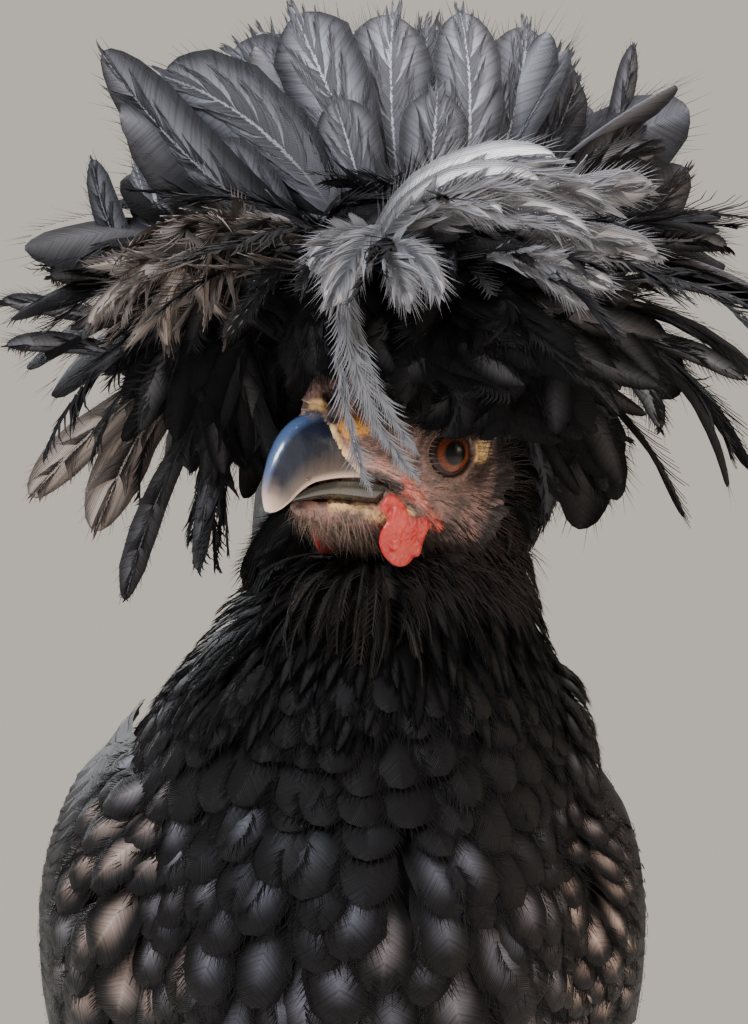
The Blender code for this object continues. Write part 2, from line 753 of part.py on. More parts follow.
def build_foot(side, name):
    """Pad, four toes and their claws, all flat under at floor level."""
    made = []
    centre = Vector((side * FOOT.x, FOOT.y + LEG_BACK, PAD_HEIGHT))
    floor = (Vector((0, 0, 0)), Vector((0, 0, 1)))
    pad = ball("foot_" + name, centre, PAD_RADII)
    keep_inside(pad, half_space(floor, 1, 0))
    for toe_name, heading, reach, radius in TOES:
        angle = math.radians(heading)
        out = Vector((side * math.sin(angle), -math.cos(angle), 0))
        right = out.cross(Vector((0, 0, 1)))
        ground = centre.copy()
        ground.z = 0
        profile = [(0, 7.0, 1.0), (0.3, 5.2, 0.98), (0.5, 4.0, 0.82), (0.68, 3.9, 0.86), (0.84, 3.3, 0.72), (1, 3.4, 0.7)]
        points = [ground + out * (reach * share * MM) + Vector((0, 0, height * MM)) for share, height, _ in profile]
        sizes = [(radius * scale * MM,) * 3 for _, _, scale in profile]
        toe = loft(f"toe_{toe_name}_{name}", along_path(points, sizes, 8, right))
        keep_inside(toe, half_space(floor, 1, 0))
        cut(toe, [grown(pad)] + [grown(other) for other in made[::2]])
        tip = points[-1] - out * (1.5 * MM)
        claw_profile = [(0, 3.6, 2.1), (0.35, 4.0, 1.8), (0.7, 3.0, 1.2), (1, 1.2, 0.35)]
        claw_points = [
            Vector((tip.x, tip.y, 0)) + out * (CLAW_LENGTH * share) + Vector((0, 0, height * MM))
            for share, height, _ in claw_profile
        ]
        claw_sizes = [(thick * 0.75 * MM, thick * MM, thick * MM) for _, _, thick in claw_profile]
        claw = loft(f"claw_{toe_name}_{name}", along_path(claw_points, claw_sizes, 6, right))
        cut(claw, [grown(toe)])
        made += [toe, claw]
    return pad, made


def build_body(head_plane):
    """One whole body from breast to rump and throat, parted by planes into torso, neck and tail stump."""
    whole = loft("whole", body_rings(26))
    fuse(whole, [loft("throat", neck_rings(22))])
    torso, neck, stump = (placed_copy(whole, name) for name in ("torso", "neck", "tail"))
    keep_inside(stump, half_space(TAIL_CUT, 1))
    keep_inside(torso, half_space(TAIL_CUT, -1))
    keep_inside(torso, half_space(NECK_CUT, -1))
    keep_inside(neck, half_space(NECK_CUT, 1))
    keep_inside(neck, half_space(head_plane, 1))
    return whole, torso, neck, stump


def dress(obj, name):
    obj.data.materials.clear()
    obj.data.materials.append(material(name))
    obj.data.shade_smooth()
    obj.data.set_sharp_from_angle(angle=math.radians(40))


def stand_on_origin(parts, holder):
    """Moves the bird so that the middle of its bounding box is over the origin."""
    bpy.context.view_layer.update()
    corners = [part.matrix_world @ vert.co for part in parts for vert in part.data.vertices]
    for axis in (0, 1):
        middle = (min(c[axis] for c in corners) + max(c[axis] for c in corners)) / 2
        holder.location[axis] -= middle


def main():
    clear_scene()
    bird = empty("bird", Matrix.Identity(4))
    head = empty("head_pose", head_matrix())
    crest_place = head_matrix() @ CREST_SEAT
    seat = empty("crest_seat", Matrix.Translation(crest_place) @ Matrix.Rotation(-CREST_TURN, 4, "Z"))

    head_plane = (head_matrix() @ HEAD_CUT[0], head_matrix().to_3x3() @ HEAD_CUT[1])
    whole, torso, neck, stump = build_body(head_plane)
    skull, upper, lower = build_head(head)
    keep_inside(skull, half_space(head_plane, -1))
    eyes = build_eyes(head)
    tail = build_tail(stump)
    cut(tail, [grown(torso)])

    fleshy = build_wattles(head)
    for piece in fleshy:
        cut(piece, [grown(skull), grown(neck), grown(upper), grown(lower)])
    beard = build_beard(head, [skull, neck, upper, lower] + fleshy)
    crest = build_crest(seat, [skull, neck, upper, beard] + fleshy)

    wings = [build_wing("wing_left", False, whole), build_wing("wing_right", True, whole)]
    for wing in wings:
        cut(wing, [grown(tail)])
    legs = []
    horn = [upper, lower]
    for side, name in ((1, "left"), (-1, "right")):
        thigh = build_thigh("thigh_" + name, side, whole)
        shank = build_shank("shank_" + name, side)
        pad, toes = build_foot(side, name)
        cut(shank, [grown(thigh), grown(pad)] + [grown(toe) for toe in toes[::2]])
        cut(thigh, [grown(wing) for wing in wings])
        legs += [shank, pad] + toes[::2]
        horn += toes[1::2]
        dress(thigh, "plumage")
        thigh.parent = bird
    bpy.data.objects.remove(whole)

    for obj in [torso, neck, tail, *wings]:
        dress(obj, "plumage")
        obj.parent = bird
    for obj in legs:
        dress(obj, "shank")
        obj.parent = bird
    for obj in horn:
        dress(obj, "horn")
        if obj.parent is None:
            obj.parent = bird
    for obj in eyes:
        dress(obj, "eye")
    dress(skull, "skin")
    dress(beard, "plumage")
    dress(crest, "crest")
    for obj in fleshy:
        dress(obj, "flesh")
    head.parent = bird
    seat.parent = bird
    parts = [obj for obj in bpy.data.objects if obj.type == "MESH"]
    stand_on_origin(parts, bird)


main()
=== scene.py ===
"""Looks of the crested hen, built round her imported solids.

Lengths are millimetres in the bird's own frame, beak towards -Y and her left side towards +X, until a mesh
is made. One skin carries thousands of feathers, each a thin closed vane with its own barbs.
"""

import math

import bpy
import numpy as np
from mathutils import Matrix, Vector
from mathutils.bvhtree import BVHTree


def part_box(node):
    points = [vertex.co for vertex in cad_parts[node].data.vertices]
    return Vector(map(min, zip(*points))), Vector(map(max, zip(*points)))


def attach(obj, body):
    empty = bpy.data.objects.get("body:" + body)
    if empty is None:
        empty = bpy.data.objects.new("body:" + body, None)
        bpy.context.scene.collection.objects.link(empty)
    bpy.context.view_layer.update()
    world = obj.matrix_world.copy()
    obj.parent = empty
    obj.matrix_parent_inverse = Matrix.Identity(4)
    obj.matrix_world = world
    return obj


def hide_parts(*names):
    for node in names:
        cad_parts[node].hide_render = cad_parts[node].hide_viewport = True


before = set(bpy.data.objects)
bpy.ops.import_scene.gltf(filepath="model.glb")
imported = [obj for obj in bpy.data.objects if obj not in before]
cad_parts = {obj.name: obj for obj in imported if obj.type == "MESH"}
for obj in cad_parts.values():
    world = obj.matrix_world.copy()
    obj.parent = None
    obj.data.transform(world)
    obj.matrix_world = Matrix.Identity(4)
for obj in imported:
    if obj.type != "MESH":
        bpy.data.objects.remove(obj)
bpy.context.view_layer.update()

MM = 0.001
RNG = np.random.default_rng(21)

HEAD_PLACE = np.array([8.0, -66.0, 305.0])
HEAD_TURN = 47
HEAD_DIP = -4
HEAD_ROLL = 5
EYE_RADIUS = 6.6
EYE_PLACE = np.array([9.6, -0.7, 1.9])
LID_TURN = math.radians(14)
CREST_TURN = 5
CREST_SEAT = np.array([0.0, 2.0, 12.0])
CREST_CORE = np.array([30.0, 30.0, 21.0])
CREST_LIFT = 15.0
CREST_KNOB = np.array([25.0, 25.0, 17.0])
HOCK = np.array([38.0, 26.0, 93.0])
FOOT = np.array([38.0, 8.0, 12.0])

# Torso sections: y, height of the middle, half width, half height up, half height down
TORSO = np.array([
    (-101, 213, 8, 8, 8),
    (-96, 212, 23, 23, 23),
    (-84, 209, 38, 38, 41),
    (-64, 206, 49, 51, 56),
    (-36, 201, 56, 59, 67),
    (-4, 197, 59, 60, 72),
    (32, 198, 58, 58, 68),
    (66, 205, 51, 53, 56),
    (96, 216, 41, 46, 43),
    (118, 228, 28, 35, 31),
    (136, 240, 17, 22, 20),
], float)
# Neck sections: height, x, y, half width, half depth to the front, half depth to the back
NECK = np.array([
    (206, 0, -34, 50, 58, 50),
    (226, 1, -34, 53, 60, 56),
    (243, 2, -36, 52, 54, 50),
    (257, 3, -43, 46, 46, 42),
    (270, 5, -52, 36, 33, 36),
    (282, 11, -58, 25.5, 20, 28),
    (289, 14, -57, 20, 14, 24),
    (296, 15, -57, 14, 10, 18),
], float)
# Skull and bill sections in the head's own frame: forward, up, half width, half up, half down
SKULL = np.array([
    (-31, -6, 7, 8, 9),
    (-28, -5, 15, 14, 17),
    (-20, -3, 21.5, 17, 24),
    (-11, -1, 20.0, 17, 25),
    (-4, 0, 15.2, 16, 22),
    (5, 0, 13.2, 15, 20),
    (12, 0, 11.4, 13.5, 17.5),
    (18, 0, 9.2, 11.5, 14.5),
    (24, 0, 7.2, 8.5, 10),
], float)
# Bill sections: forward and up at the ridge, forward and up at the cutting edges, half width
UPPER_BILL = np.array([
    (16, 8.5, 13, -5.0, 9.6),
    (21, 8.4, 17, -4.8, 8.9),
    (25, 7.9, 21, -4.9, 7.9),
    (28.5, 6.9, 25, -5.3, 6.8),
    (31.6, 6.0, 28, -5.9, 5.9),
    (34.4, 4.2, 30.5, -6.6, 5.1),
    (36.9, 1.5, 32.2, -7.8, 4.3),
    (38.7, -2.0, 33.5, -9.3, 3.5),
    (39.7, -5.6, 34.6, -10.9, 2.8),
    (40.0, -8.9, 35.8, -12.3, 2.0),
    (39.5, -11.6, 37.0, -13.2, 1.2),
    (38.9, -12.9, 38.0, -13.5, 0.5),
], float)
LOWER_BILL = np.array([
    (8, -6.2, 8, -11.6, 11.0),
    (14, -5.6, 14, -11.0, 9.3),
    (17, -5.4, 17, -10.8, 8.2),
    (20, -5.3, 20, -10.6, 7.1),
    (25, -5.8, 25, -10.2, 5.7),
    (29, -7.0, 29.2, -10.6, 4.2),
    (31.8, -8.9, 32.0, -11.0, 2.6),
    (33.3, -10.3, 33.3, -11.2, 1.0),
], float)
CHIN = np.array([
    (2, -12, 9.0, 6, 7),
    (12, -12.4, 7.8, 4.5, 4.6),
    (20, -12.2, 6.0, 3.2, 3.2),
    (26, -12.0, 3.9, 2.0, 2.2),
    (30, -12.0, 1.6, 1.0, 1.0),
], float)
# Right half of a bill's section, from the ridge down to the cutting edge and over the palate: out, up
UPPER_SECTION = [
    (0, 1), (0.3, 0.95), (0.6, 0.72), (0.82, 0.36), (0.93, -0.1), (0.97, -0.6), (0.95, -1), (0.86, -1),
    (0.7, -0.8), (0.4, -0.62), (0, -0.56),
]
LOWER_SECTION = [
    (0, 0.4), (0.5, 0.5), (0.8, 0.8), (0.9, 1), (0.96, 0.9), (0.98, 0.3), (0.9, -0.3), (0.66, -0.75),
    (0.34, -0.95), (0, -1),
]
BILL_SIDES = 72
# Wing sections: y, lower edge angle, upper edge angle, thickness over the body
WING = np.array([
    (-62, 6, 18, 1.5),
    (-56, -6, 30, 3),
    (-40, -16, 40, 4),
    (-10, -24, 46, 4),
    (25, -24, 46, 4),
    (58, -18, 42, 4),
    (84, -8, 36, 3.5),
], float)
TORSO_SQUARE = 0.92

X, Y, Z = np.eye(3)


def shift_of_frame():
    """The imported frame's offset from the bird's own frame, read from her left foot."""
    low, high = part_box("foot_left")
    middle = np.array((low + high) / 2) / MM
    return np.array([middle[0] - FOOT[0], middle[1] - FOOT[1], 0.0])


SHIFT = shift_of_frame()


def turned(turn, dip=0, roll=0):
    """Columns are the turned axes: turn clockwise from above, then dip, then roll, in degrees."""
    made = Matrix.Rotation(math.radians(-turn), 3, "Z") @ Matrix.Rotation(math.radians(dip), 3, "X")
    return np.array(made @ Matrix.Rotation(math.radians(roll), 3, "Y"))


HEAD = turned(HEAD_TURN, HEAD_DIP, HEAD_ROLL)
CREST = turned(CREST_TURN)


def from_head(points):
    return np.asarray(points, float) @ HEAD.T + HEAD_PLACE


def to_head(points):
    return (points - HEAD_PLACE) @ HEAD


def from_crest(points):
    return points @ CREST.T + from_head(CREST_SEAT)


def unit(vectors):
    return vectors / np.maximum(np.linalg.norm(vectors, axis=-1, keepdims=True), 1e-9)


def dot(a, b):
    return (a * b).sum(-1)


def smoothstep(low, high, value):
    share = np.clip((value - low) / (high - low), 0, 1)
    return share * share * (3 - 2 * share)


def between(value, table):
    """Reads a short table of (value, result) pairs."""
    table = np.array(table, float)
    return np.interp(value, table[:, 0], table[:, 1])


def read_columns(table, place, *columns):
    """Reads columns of a table of sections at places along its first one."""
    return [np.interp(place, table[:, 0], table[:, i]) for i in columns]


def mirror(side):
    """Takes places on the bird's left to the given side: 1 is left, -1 is right."""
    return np.array([side, 1, 1])


def listed(values):
    """Vectors in any grouping as one list."""
    return values.reshape(-1, 3)


# Meshes


def mesh_object(name, points, faces, sharp=None):
    """A smooth-shaded object, given in millimetres of the bird's frame. sharp is the angle that stays a
    crease, in degrees."""
    mesh = bpy.data.meshes.new(name)
    count, corners = faces.shape
    mesh.vertices.add(len(points))
    mesh.vertices.foreach_set("co", ((points + SHIFT) * MM).astype(np.float32).ravel())
    mesh.loops.add(count * corners)
    mesh.loops.foreach_set("vertex_index", faces.astype(np.int32).ravel())
    mesh.polygons.add(count)
    mesh.polygons.foreach_set("loop_start", np.arange(0, count * corners, corners, dtype=np.int32))
    mesh.update(calc_edges=True)
    mesh.shade_smooth()
    if sharp:
        mesh.set_sharp_from_angle(angle=math.radians(sharp))
    obj = bpy.data.objects.new(name, mesh)
    bpy.context.scene.collection.objects.link(obj)
    return obj


def arrays_of(obj):
    """Points in millimetres, point normals and triangles of an object's own mesh."""
    mesh = obj.data
    points = np.empty(len(mesh.vertices) * 3, np.float32)
    mesh.vertices.foreach_get("co", points)
    normals = np.empty(len(mesh.vertices) * 3, np.float32)
    mesh.vertices.foreach_get("normal", normals)
    mesh.calc_loop_triangles()
    tris = np.empty(len(mesh.loop_triangles) * 3, np.int32)
    mesh.loop_triangles.foreach_get("vertices", tris)
    points = points.reshape(-1, 3).astype(float) / MM - SHIFT
    return points, normals.reshape(-1, 3).astype(float), tris.reshape(-1, 3)


def set_points(obj, points):
    obj.data.vertices.foreach_set("co", ((points + SHIFT) * MM).astype(np.float32).ravel())
    obj.data.update()


def mark_points(obj, name, values):
    """Keeps three values for each point as a colour that the material reads."""
    values = np.concatenate([values, np.ones((len(values), 1))], axis=1)
    layer = obj.data.attributes.new(name, "FLOAT_COLOR", "POINT")
    layer.data.foreach_set("color", values.astype(np.float32).ravel())


def stand_in(obj, slot, *nodes):
    """Puts a piece on the one body and hides the nodes that it stands for. slot is not used."""
    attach(obj, "root")
    if nodes:
        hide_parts(*nodes)


def oval(centre, right, up, half_width, half_up, half_down, sides, power=1.0):
    angle = np.arange(sides) * math.tau / sides
    across = np.sign(np.cos(angle)) * np.abs(np.cos(angle)) ** power
    rise = np.sign(np.sin(angle)) * np.abs(np.sin(angle)) ** power
    height = np.where(rise > 0, half_up, half_down) * rise
    return centre + across[:, None] * half_width * right + height[:, None] * up


def resampled(table, count):
    """More sections through a table's own, eased so that no section shows as a crease."""
    place = np.linspace(0, len(table) - 1, count)
    steps = np.arange(len(table))
    rows = np.stack([np.interp(place, steps, column) for column in table.T], axis=1)
    for _ in range(count // len(table)):
        rows[1:-1] = (rows[:-2] + 2 * rows[1:-1] + rows[2:]) / 4
    return rows


def along_path(centres, sizes, sides, right=X):
    """Rings square to a path. Sizes are half width, half up, half down."""
    rings = []
    for i, centre in enumerate(centres):
        ahead = centres[min(i + 1, len(centres) - 1)] - centres[max(i - 1, 0)]
        up = unit(np.cross(right, ahead))
        if up[2] < 0:
            up = -up
        rings.append(oval(centre, right, up, *sizes[i], sides))
    return np.array(rings)


def loft(rings):
    """Points and triangles of a closed body through rings, with fans over its ends."""
    rows, sides = rings.shape[:2]
    index = np.arange(rows * sides).reshape(rows, sides)
    near, far = index[:-1], index[1:]
    a, b = near, np.roll(near, -1, axis=1)
    c, d = np.roll(far, -1, axis=1), far
    walls = np.stack([a, b, c, a, c, d], axis=-1).reshape(-1, 3)
    start, end = rows * sides, rows * sides + 1
    first, last = index[0], index[-1]
    caps = [np.stack([np.full(sides, start), np.roll(first, -1), first], axis=1)]
    caps.append(np.stack([np.full(sides, end), last, np.roll(last, -1)], axis=1))
    points = np.concatenate([rings.reshape(-1, 3), [rings[0].mean(0)], [rings[-1].mean(0)]])
    tris = np.concatenate([walls] + caps)
    a, b, c = (points[tris[:, i]] for i in range(3))
    if dot(a, np.cross(b, c)).sum() < 0:
        tris = tris[:, ::-1]
    return points, tris


def joined(parts):
    """Several sets of points and triangles as one."""
    points, tris, start = [], [], 0
    for part_points, part_tris in parts:
        points.append(part_points)
        tris.append(part_tris + start)
        start += len(part_points)
    return np.concatenate(points), np.concatenate(tris)


def applied(obj):
    """Applies the object's modifiers."""
    bpy.context.view_layer.update()
    graph = bpy.context.evaluated_depsgraph_get()
    mesh = bpy.data.meshes.new_from_object(obj.evaluated_get(graph))
    obj.modifiers.clear()
    obj.data = mesh
    return obj


def melted(name, parts, voxel):
    """One smooth closed surface over several closed parts that overlap."""
    obj = mesh_object(name, *joined(parts))
    step = obj.modifiers.new("melt", "REMESH")
    step.mode = "VOXEL"
    step.voxel_size = voxel * MM
    step.use_smooth_shade = True
    return applied(obj)


def relaxed(obj, times):
    """Evens a surface out by moving each point towards the middle of its neighbours."""
    points = arrays_of(obj)[0]
    edges = np.empty(len(obj.data.edges) * 2, np.int32)
    obj.data.edges.foreach_get("vertices", edges)
    a, b = edges.reshape(-1, 2).T
    count = np.bincount(a, minlength=len(points)) + np.bincount(b, minlength=len(points))
    for _ in range(times):
        total = np.empty_like(points)
        for axis in range(3):
            total[:, axis] = np.bincount(a, points[b, axis], len(points))
            total[:, axis] += np.bincount(b, points[a, axis], len(points))
        points += 0.5 * (total / count[:, None] - points)
    set_points(obj, points)
    return obj


def united(target, others):
    """Boolean union of closed meshes."""
    for other in others:
        step = target.modifiers.new("unite", "BOOLEAN")
        step.operation = "UNION"
        step.solver = "MANIFOLD"
        step.object = other
        applied(target)
        bpy.data.objects.remove(other)
    return target


# Materials


class Nodes:
    """A short way to wire a material's nodes. A value that is a socket is linked, any other is set."""

    def __init__(self, name):
        self.material = bpy.data.materials.new(name)
        self.material.use_nodes = True
        self.tree = self.material.node_tree
        self.shader = self.tree.nodes["Principled BSDF"]

    def put(self, socket, value):
        if isinstance(value, bpy.types.NodeSocket):
            self.tree.links.new(value, socket)
        elif isinstance(value, tuple) and len(value) == 3 and socket.type == "RGBA":
            socket.default_value = (*value, 1)
        else:
            socket.default_value = value

    def node(self, kind, out, settings=(), **values):
        made = self.tree.nodes.new(kind)
        for key, value in dict(settings).items():
            setattr(made, key, value)
        for key, value in values.items():
            place = int(key[1:]) if key[0] == "i" and key[1:].isdigit() else key.replace("_", " ")
            self.put(made.inputs[place], value)
        return made.outputs[out]

    def math(self, operation, a, b=0.0, clamp=False):
        settings = {"operation": operation, "use_clamp": clamp}
        return self.node("ShaderNodeMath", 0, settings, i0=a, i1=b, i2=0.0)

    def mix(self, share, a, b):
        settings = {"data_type": "RGBA", "blend_type": "MIX", "clamp_factor": True}
        return self.node("ShaderNodeMix", 2, settings, i0=share, i6=a, i7=b)

    def noise(self, scale, detail=3.0, vector=None, stretch=None):
        """Noise whose scale is features for each metre."""
        if vector is None:
            vector = self.place()
        if stretch:
            vector = self.node("ShaderNodeVectorMath", 0, {"operation": "MULTIPLY"}, i0=vector, i1=stretch)
        return self.node("ShaderNodeTexNoise", 0, Vector=vector, Scale=scale, Detail=detail, Roughness=0.55)

    def place(self):
        return self.node("ShaderNodeTexCoord", "Object")

    def ramp(self, value, low, high, to_low=0.0, to_high=1.0):
        settings = {"clamp": True, "interpolation_type": "SMOOTHSTEP"}
        return self.node(
            "ShaderNodeMapRange", 0, settings, i0=value, i1=low, i2=high, i3=to_low, i4=to_high
        )

    def attribute(self, name, out="Fac"):
        return self.node("ShaderNodeAttribute", out, {"attribute_name": name})

    def split(self, colour):
        made = self.tree.nodes.new("ShaderNodeSeparateColor")
        self.put(made.inputs[0], colour)
        return list(made.outputs)

    def bump(self, height, distance, strength):
        made = self.tree.nodes.new("ShaderNodeBump")
        made.inputs["Strength"].default_value = strength
        made.inputs["Distance"].default_value = distance
        self.put(made.inputs["Height"], height)
        return made.outputs[0]

    def finish(self, **values):
        for key, value in values.items():
            self.put(self.shader.inputs[key.replace("_", " ")], value)
        return self.material


def barb_lines(nodes, spacing, along):
    """Bands for the barbs with a few splits between: slanting off the shaft, or along a loose strand."""
    place = nodes.node("ShaderNodeUVMap", 0, {"uv_map": "Barb"})
    x, y, _ = nodes.node("ShaderNodeSeparateXYZ", 0, (), i0=place).node.outputs
    across = nodes.math("ABSOLUTE", nodes.math("SUBTRACT", x, 0.5))
    slant = x if along else nodes.math("SUBTRACT", y, nodes.math("MULTIPLY", across, 0.75))
    wander = nodes.noise(9.0, 2.0, place)
    slant = nodes.math("ADD", slant, nodes.math("MULTIPLY", wander, 0.012))
    wave = nodes.math("SINE", nodes.math("MULTIPLY", slant, math.tau * 100 / spacing))
    return wave, slant, across


FEATHER_IOR = 1.3


def feather_material(
    name, dark, middle, pale, spacing=0.5, gloss=0.2, roughness=0.5, along=False,
    lines=0.25, edge=0.3, tip=0.4, shaft=0.4, rim=1.0, cool_sheen=None,
):
    """Barbed vane: dark at the root and edge, a pale inside as strong as its tone, a pale shaft, and lines
    for the barbs.
    On the body and the crest that pale inside is painted sheen and light.

    spacing is the barbs' distance, and along says that the surface is a loose strand. lines is how dark the
    gaps between barbs are. edge, rim and tip say where the inside ends. The colour given for low tones is
    that of a painted bluish sheen."""
    nodes = Nodes(name)
    share, spread, tone = nodes.split(nodes.attribute("feather", "Color"))[:3]
    wave, slant, across = barb_lines(nodes, spacing, along)
    streaks = nodes.node("ShaderNodeCombineXYZ", 0, (), i0=across, i1=nodes.math("MULTIPLY", slant, 22.0))
    streak = nodes.noise(6.0, 3.0, streaks)
    colour = nodes.mix(nodes.ramp(share, 0.05, 0.6), dark, middle)
    inner = nodes.math("MULTIPLY", nodes.ramp(spread, rim, edge), nodes.ramp(share, 0.1, 0.6))
    if not along:
        inner = nodes.math("MULTIPLY", inner, nodes.ramp(share, 0.5 + rim / 2, 0.74 * rim, tip, 1.0))
    # Painted sheen: the pale inside, bluish at low tones, stands for lamplight on black body and crest
    # feathers.
    glow = nodes.mix(nodes.ramp(tone, 0.25, 0.6), cool_sheen, pale) if cool_sheen else pale
    colour = nodes.mix(nodes.math("MULTIPLY", inner, tone), colour, glow)
    colour = nodes.mix(nodes.math("MULTIPLY", nodes.ramp(streak, 0.42, 0.7), 0.4), colour, dark)
    colour = nodes.mix(nodes.ramp(wave, 0.2, 1.0, 0.0, lines), colour, dark)
    if not along:
        stem = nodes.math("MULTIPLY", nodes.ramp(across, 0.006, 0.002), nodes.ramp(share, 1.0, 0.6))
        stem = nodes.math("MULTIPLY", stem, nodes.ramp(tone, 0.2, 0.8, 0.0, shaft))
        colour = nodes.mix(stem, colour, pale)
    height = nodes.math("ADD", nodes.math("MULTIPLY", wave, 0.5), nodes.math("MULTIPLY", streak, 1.5))
    return nodes.finish(
        Base_Color=colour,
        IOR=FEATHER_IOR,
        Roughness=nodes.ramp(streak, 0.3, 0.7, roughness - 0.08, roughness + 0.08),
        Normal=nodes.bump(height, 0.00008, 0.7),
        Specular_IOR_Level=gloss,
    )


# Feathers

PIECE_TRIANGLES = 185000
FOLD_ANGLE = 50


class Coat:
    """Gathers feathers as arrays, and makes one mesh of them."""

    def __init__(self, name):
        self.name = name
        self.points, self.tris, self.sizes = [], [], []
        self.barb, self.bake, self.tone = [], [], []
        self.count = 0

    def add(self, points, tris, barb, bake, tone):
        """Adds n feathers of v points: points (n, v, 3), triangles of one feather (f, 3), maps (n, v, 2), and
        share, spread and tone (n, v, 3)."""
        n, v = points.shape[:2]
        starts = self.count + np.arange(n) * v
        self.points.append(points.reshape(-1, 3))
        self.tris.append((tris[None] + starts[:, None, None]).reshape(-1, 3))
        self.barb.append(barb.reshape(-1, 2))
        self.bake.append(bake.reshape(-1, 2))
        self.tone.append(tone.reshape(-1, 3))
        self.sizes.append(np.full(n, len(tris)))
        self.count += n * v

    def build(self, material, slot, *nodes):
        """Makes the mesh, in as many objects as the limit on one piece asks for. The first stands for the
        nodes."""
        tris = np.concatenate(self.tris)
        ends = np.concatenate(self.sizes).cumsum()
        parts = max(1, math.ceil(ends[-1] / PIECE_TRIANGLES))
        wanted = [ends[-1] * (i + 1) / parts for i in range(parts)]
        cuts = [0] + [int(ends[place]) for place in np.searchsorted(ends, wanted)]
        columns = [np.concatenate(values) for values in (self.points, self.barb, self.bake, self.tone)]
        for i, (first, last) in enumerate(zip(cuts, cuts[1:])):
            used, corner = np.unique(tris[first:last], return_inverse=True)
            points, barb, bake, tone = (values[used] for values in columns)
            name = self.name if parts == 1 else f"{self.name}_{i + 1}"
            obj = mesh_object(name, points, corner.reshape(-1, 3), FOLD_ANGLE)
            mesh = obj.data
            for layer, values in (("Barb", barb), ("OFBake", bake)):
                uv = mesh.uv_layers.new(name=layer)
                uv.data.foreach_set("uv", values[corner.ravel()].astype(np.float32).ravel())
            mesh.uv_layers["OFBake"].active_render = True
            mark_points(obj, "feather", tone)
            mesh.materials.append(material)
            stand_in(obj, slot, *(nodes if i == 0 else ()))


def unwrap(points):
    """Place on the skin unrolled: along the body from bill to tail, and round it."""
    back = smoothstep(285, 225, points[:, 2])
    down = np.clip((330 - points[:, 2]) / 110, 0, 1) * 0.3
    along = 0.05 + down + back * np.clip((points[:, 1] + 110) / 330, 0, 1) * 0.55
    middle = np.where(points[:, 2] > 255, -60, 0)
    upright = np.arctan2(points[:, 0], -(points[:, 1] - middle))
    lying = np.arctan2(points[:, 0], points[:, 2] - 200)
    angle = np.where(points[:, 2] > 255, upright, lying)
    return np.stack([0.02 + 0.96 * (angle / math.tau + 0.5), np.clip(along, 0.02, 0.98)], axis=1)


BAKE_PATCH = 0.003


def bake_patch(roots, across, share):
    """A small patch for each feather at its root's place on the unrolled skin."""
    local = np.stack([across, share - 0.5 + 0 * across], axis=-1)
    return unwrap(roots)[:, None] + local * BAKE_PATCH


def tube_tris(rows, sides):
    """Triangles of a closed tube of rings, in order row by row."""
    index = np.arange(rows * sides).reshape(rows, sides)
    a, b = index[:-1], np.roll(index[:-1], -1, axis=1)
    c, d = np.roll(index[1:], -1, axis=1), index[1:]
    tris = [np.stack([a, b, c, a, c, d], axis=-1).reshape(-1, 3)]
    fan = np.arange(1, sides - 1)
    first, last = index[0], index[-1]
    tris.append(np.stack([np.full(len(fan), first[0]), first[fan + 1], first[fan]], axis=1))
    tris.append(np.stack([np.full(len(fan), last[0]), last[fan], last[fan + 1]], axis=1))
    return np.concatenate(tris)


def add_vanes(coat, spine, normal, half, columns, camber, thick, tone, shaft, home=None):
    """Closed blades along spines (n, rows, 3). half is each row's half width (n, rows), shaft the height of
    the rib, and home the root of the feather that a blade belongs to."""
    n, rows = spine.shape[:2]
    ahead = np.gradient(spine, axis=1)
    side = unit(np.cross(ahead, normal))
    normal = unit(np.cross(side, ahead))
    across = np.linspace(-1, 1, columns)
    under = across[-2:0:-1] if columns > 2 else np.zeros(1)
    u = np.concatenate([across, under])
    depth = np.concatenate([np.zeros(columns), 1 - under**2])
    crown = np.concatenate([np.exp(-((across * 5) ** 2)) * shaft, np.zeros(len(under))])
    width = half[:, :, None] * u
    drop = camber * half[:, :, None] * u**2 + thick * depth - crown * (half > 0.8)[:, :, None]
    points = spine[:, :, None] + side[:, :, None] * width[..., None] - normal[:, :, None] * drop[..., None]
    points = points.reshape(n, -1, 3)
    length = np.linalg.norm(np.diff(spine, axis=1), axis=-1).cumsum(axis=1)
    length = np.concatenate([np.zeros((n, 1)), length], axis=1)
    total = length[:, -1:]
    share = np.repeat(length / total, len(u), axis=1)
    barb = np.stack([width / 100 + 0.5, np.repeat(length[:, :, None], len(u), axis=2) / 100], axis=-1)
    spread = np.tile(np.abs(u), rows)[None] + 0 * share
    tones = np.stack([share, spread, np.repeat(tone[:, None], share.shape[1], axis=1)], axis=-1)
    home = spine[:, 0] if home is None else home
    bake = bake_patch(home, np.tile(u / 2, rows)[None] + 0 * share, share)
    tris = tube_tris(rows, len(u))
    coat.add(points, tris[:, ::-1], barb.reshape(n, -1, 2), bake, tones)
    return side, normal, share


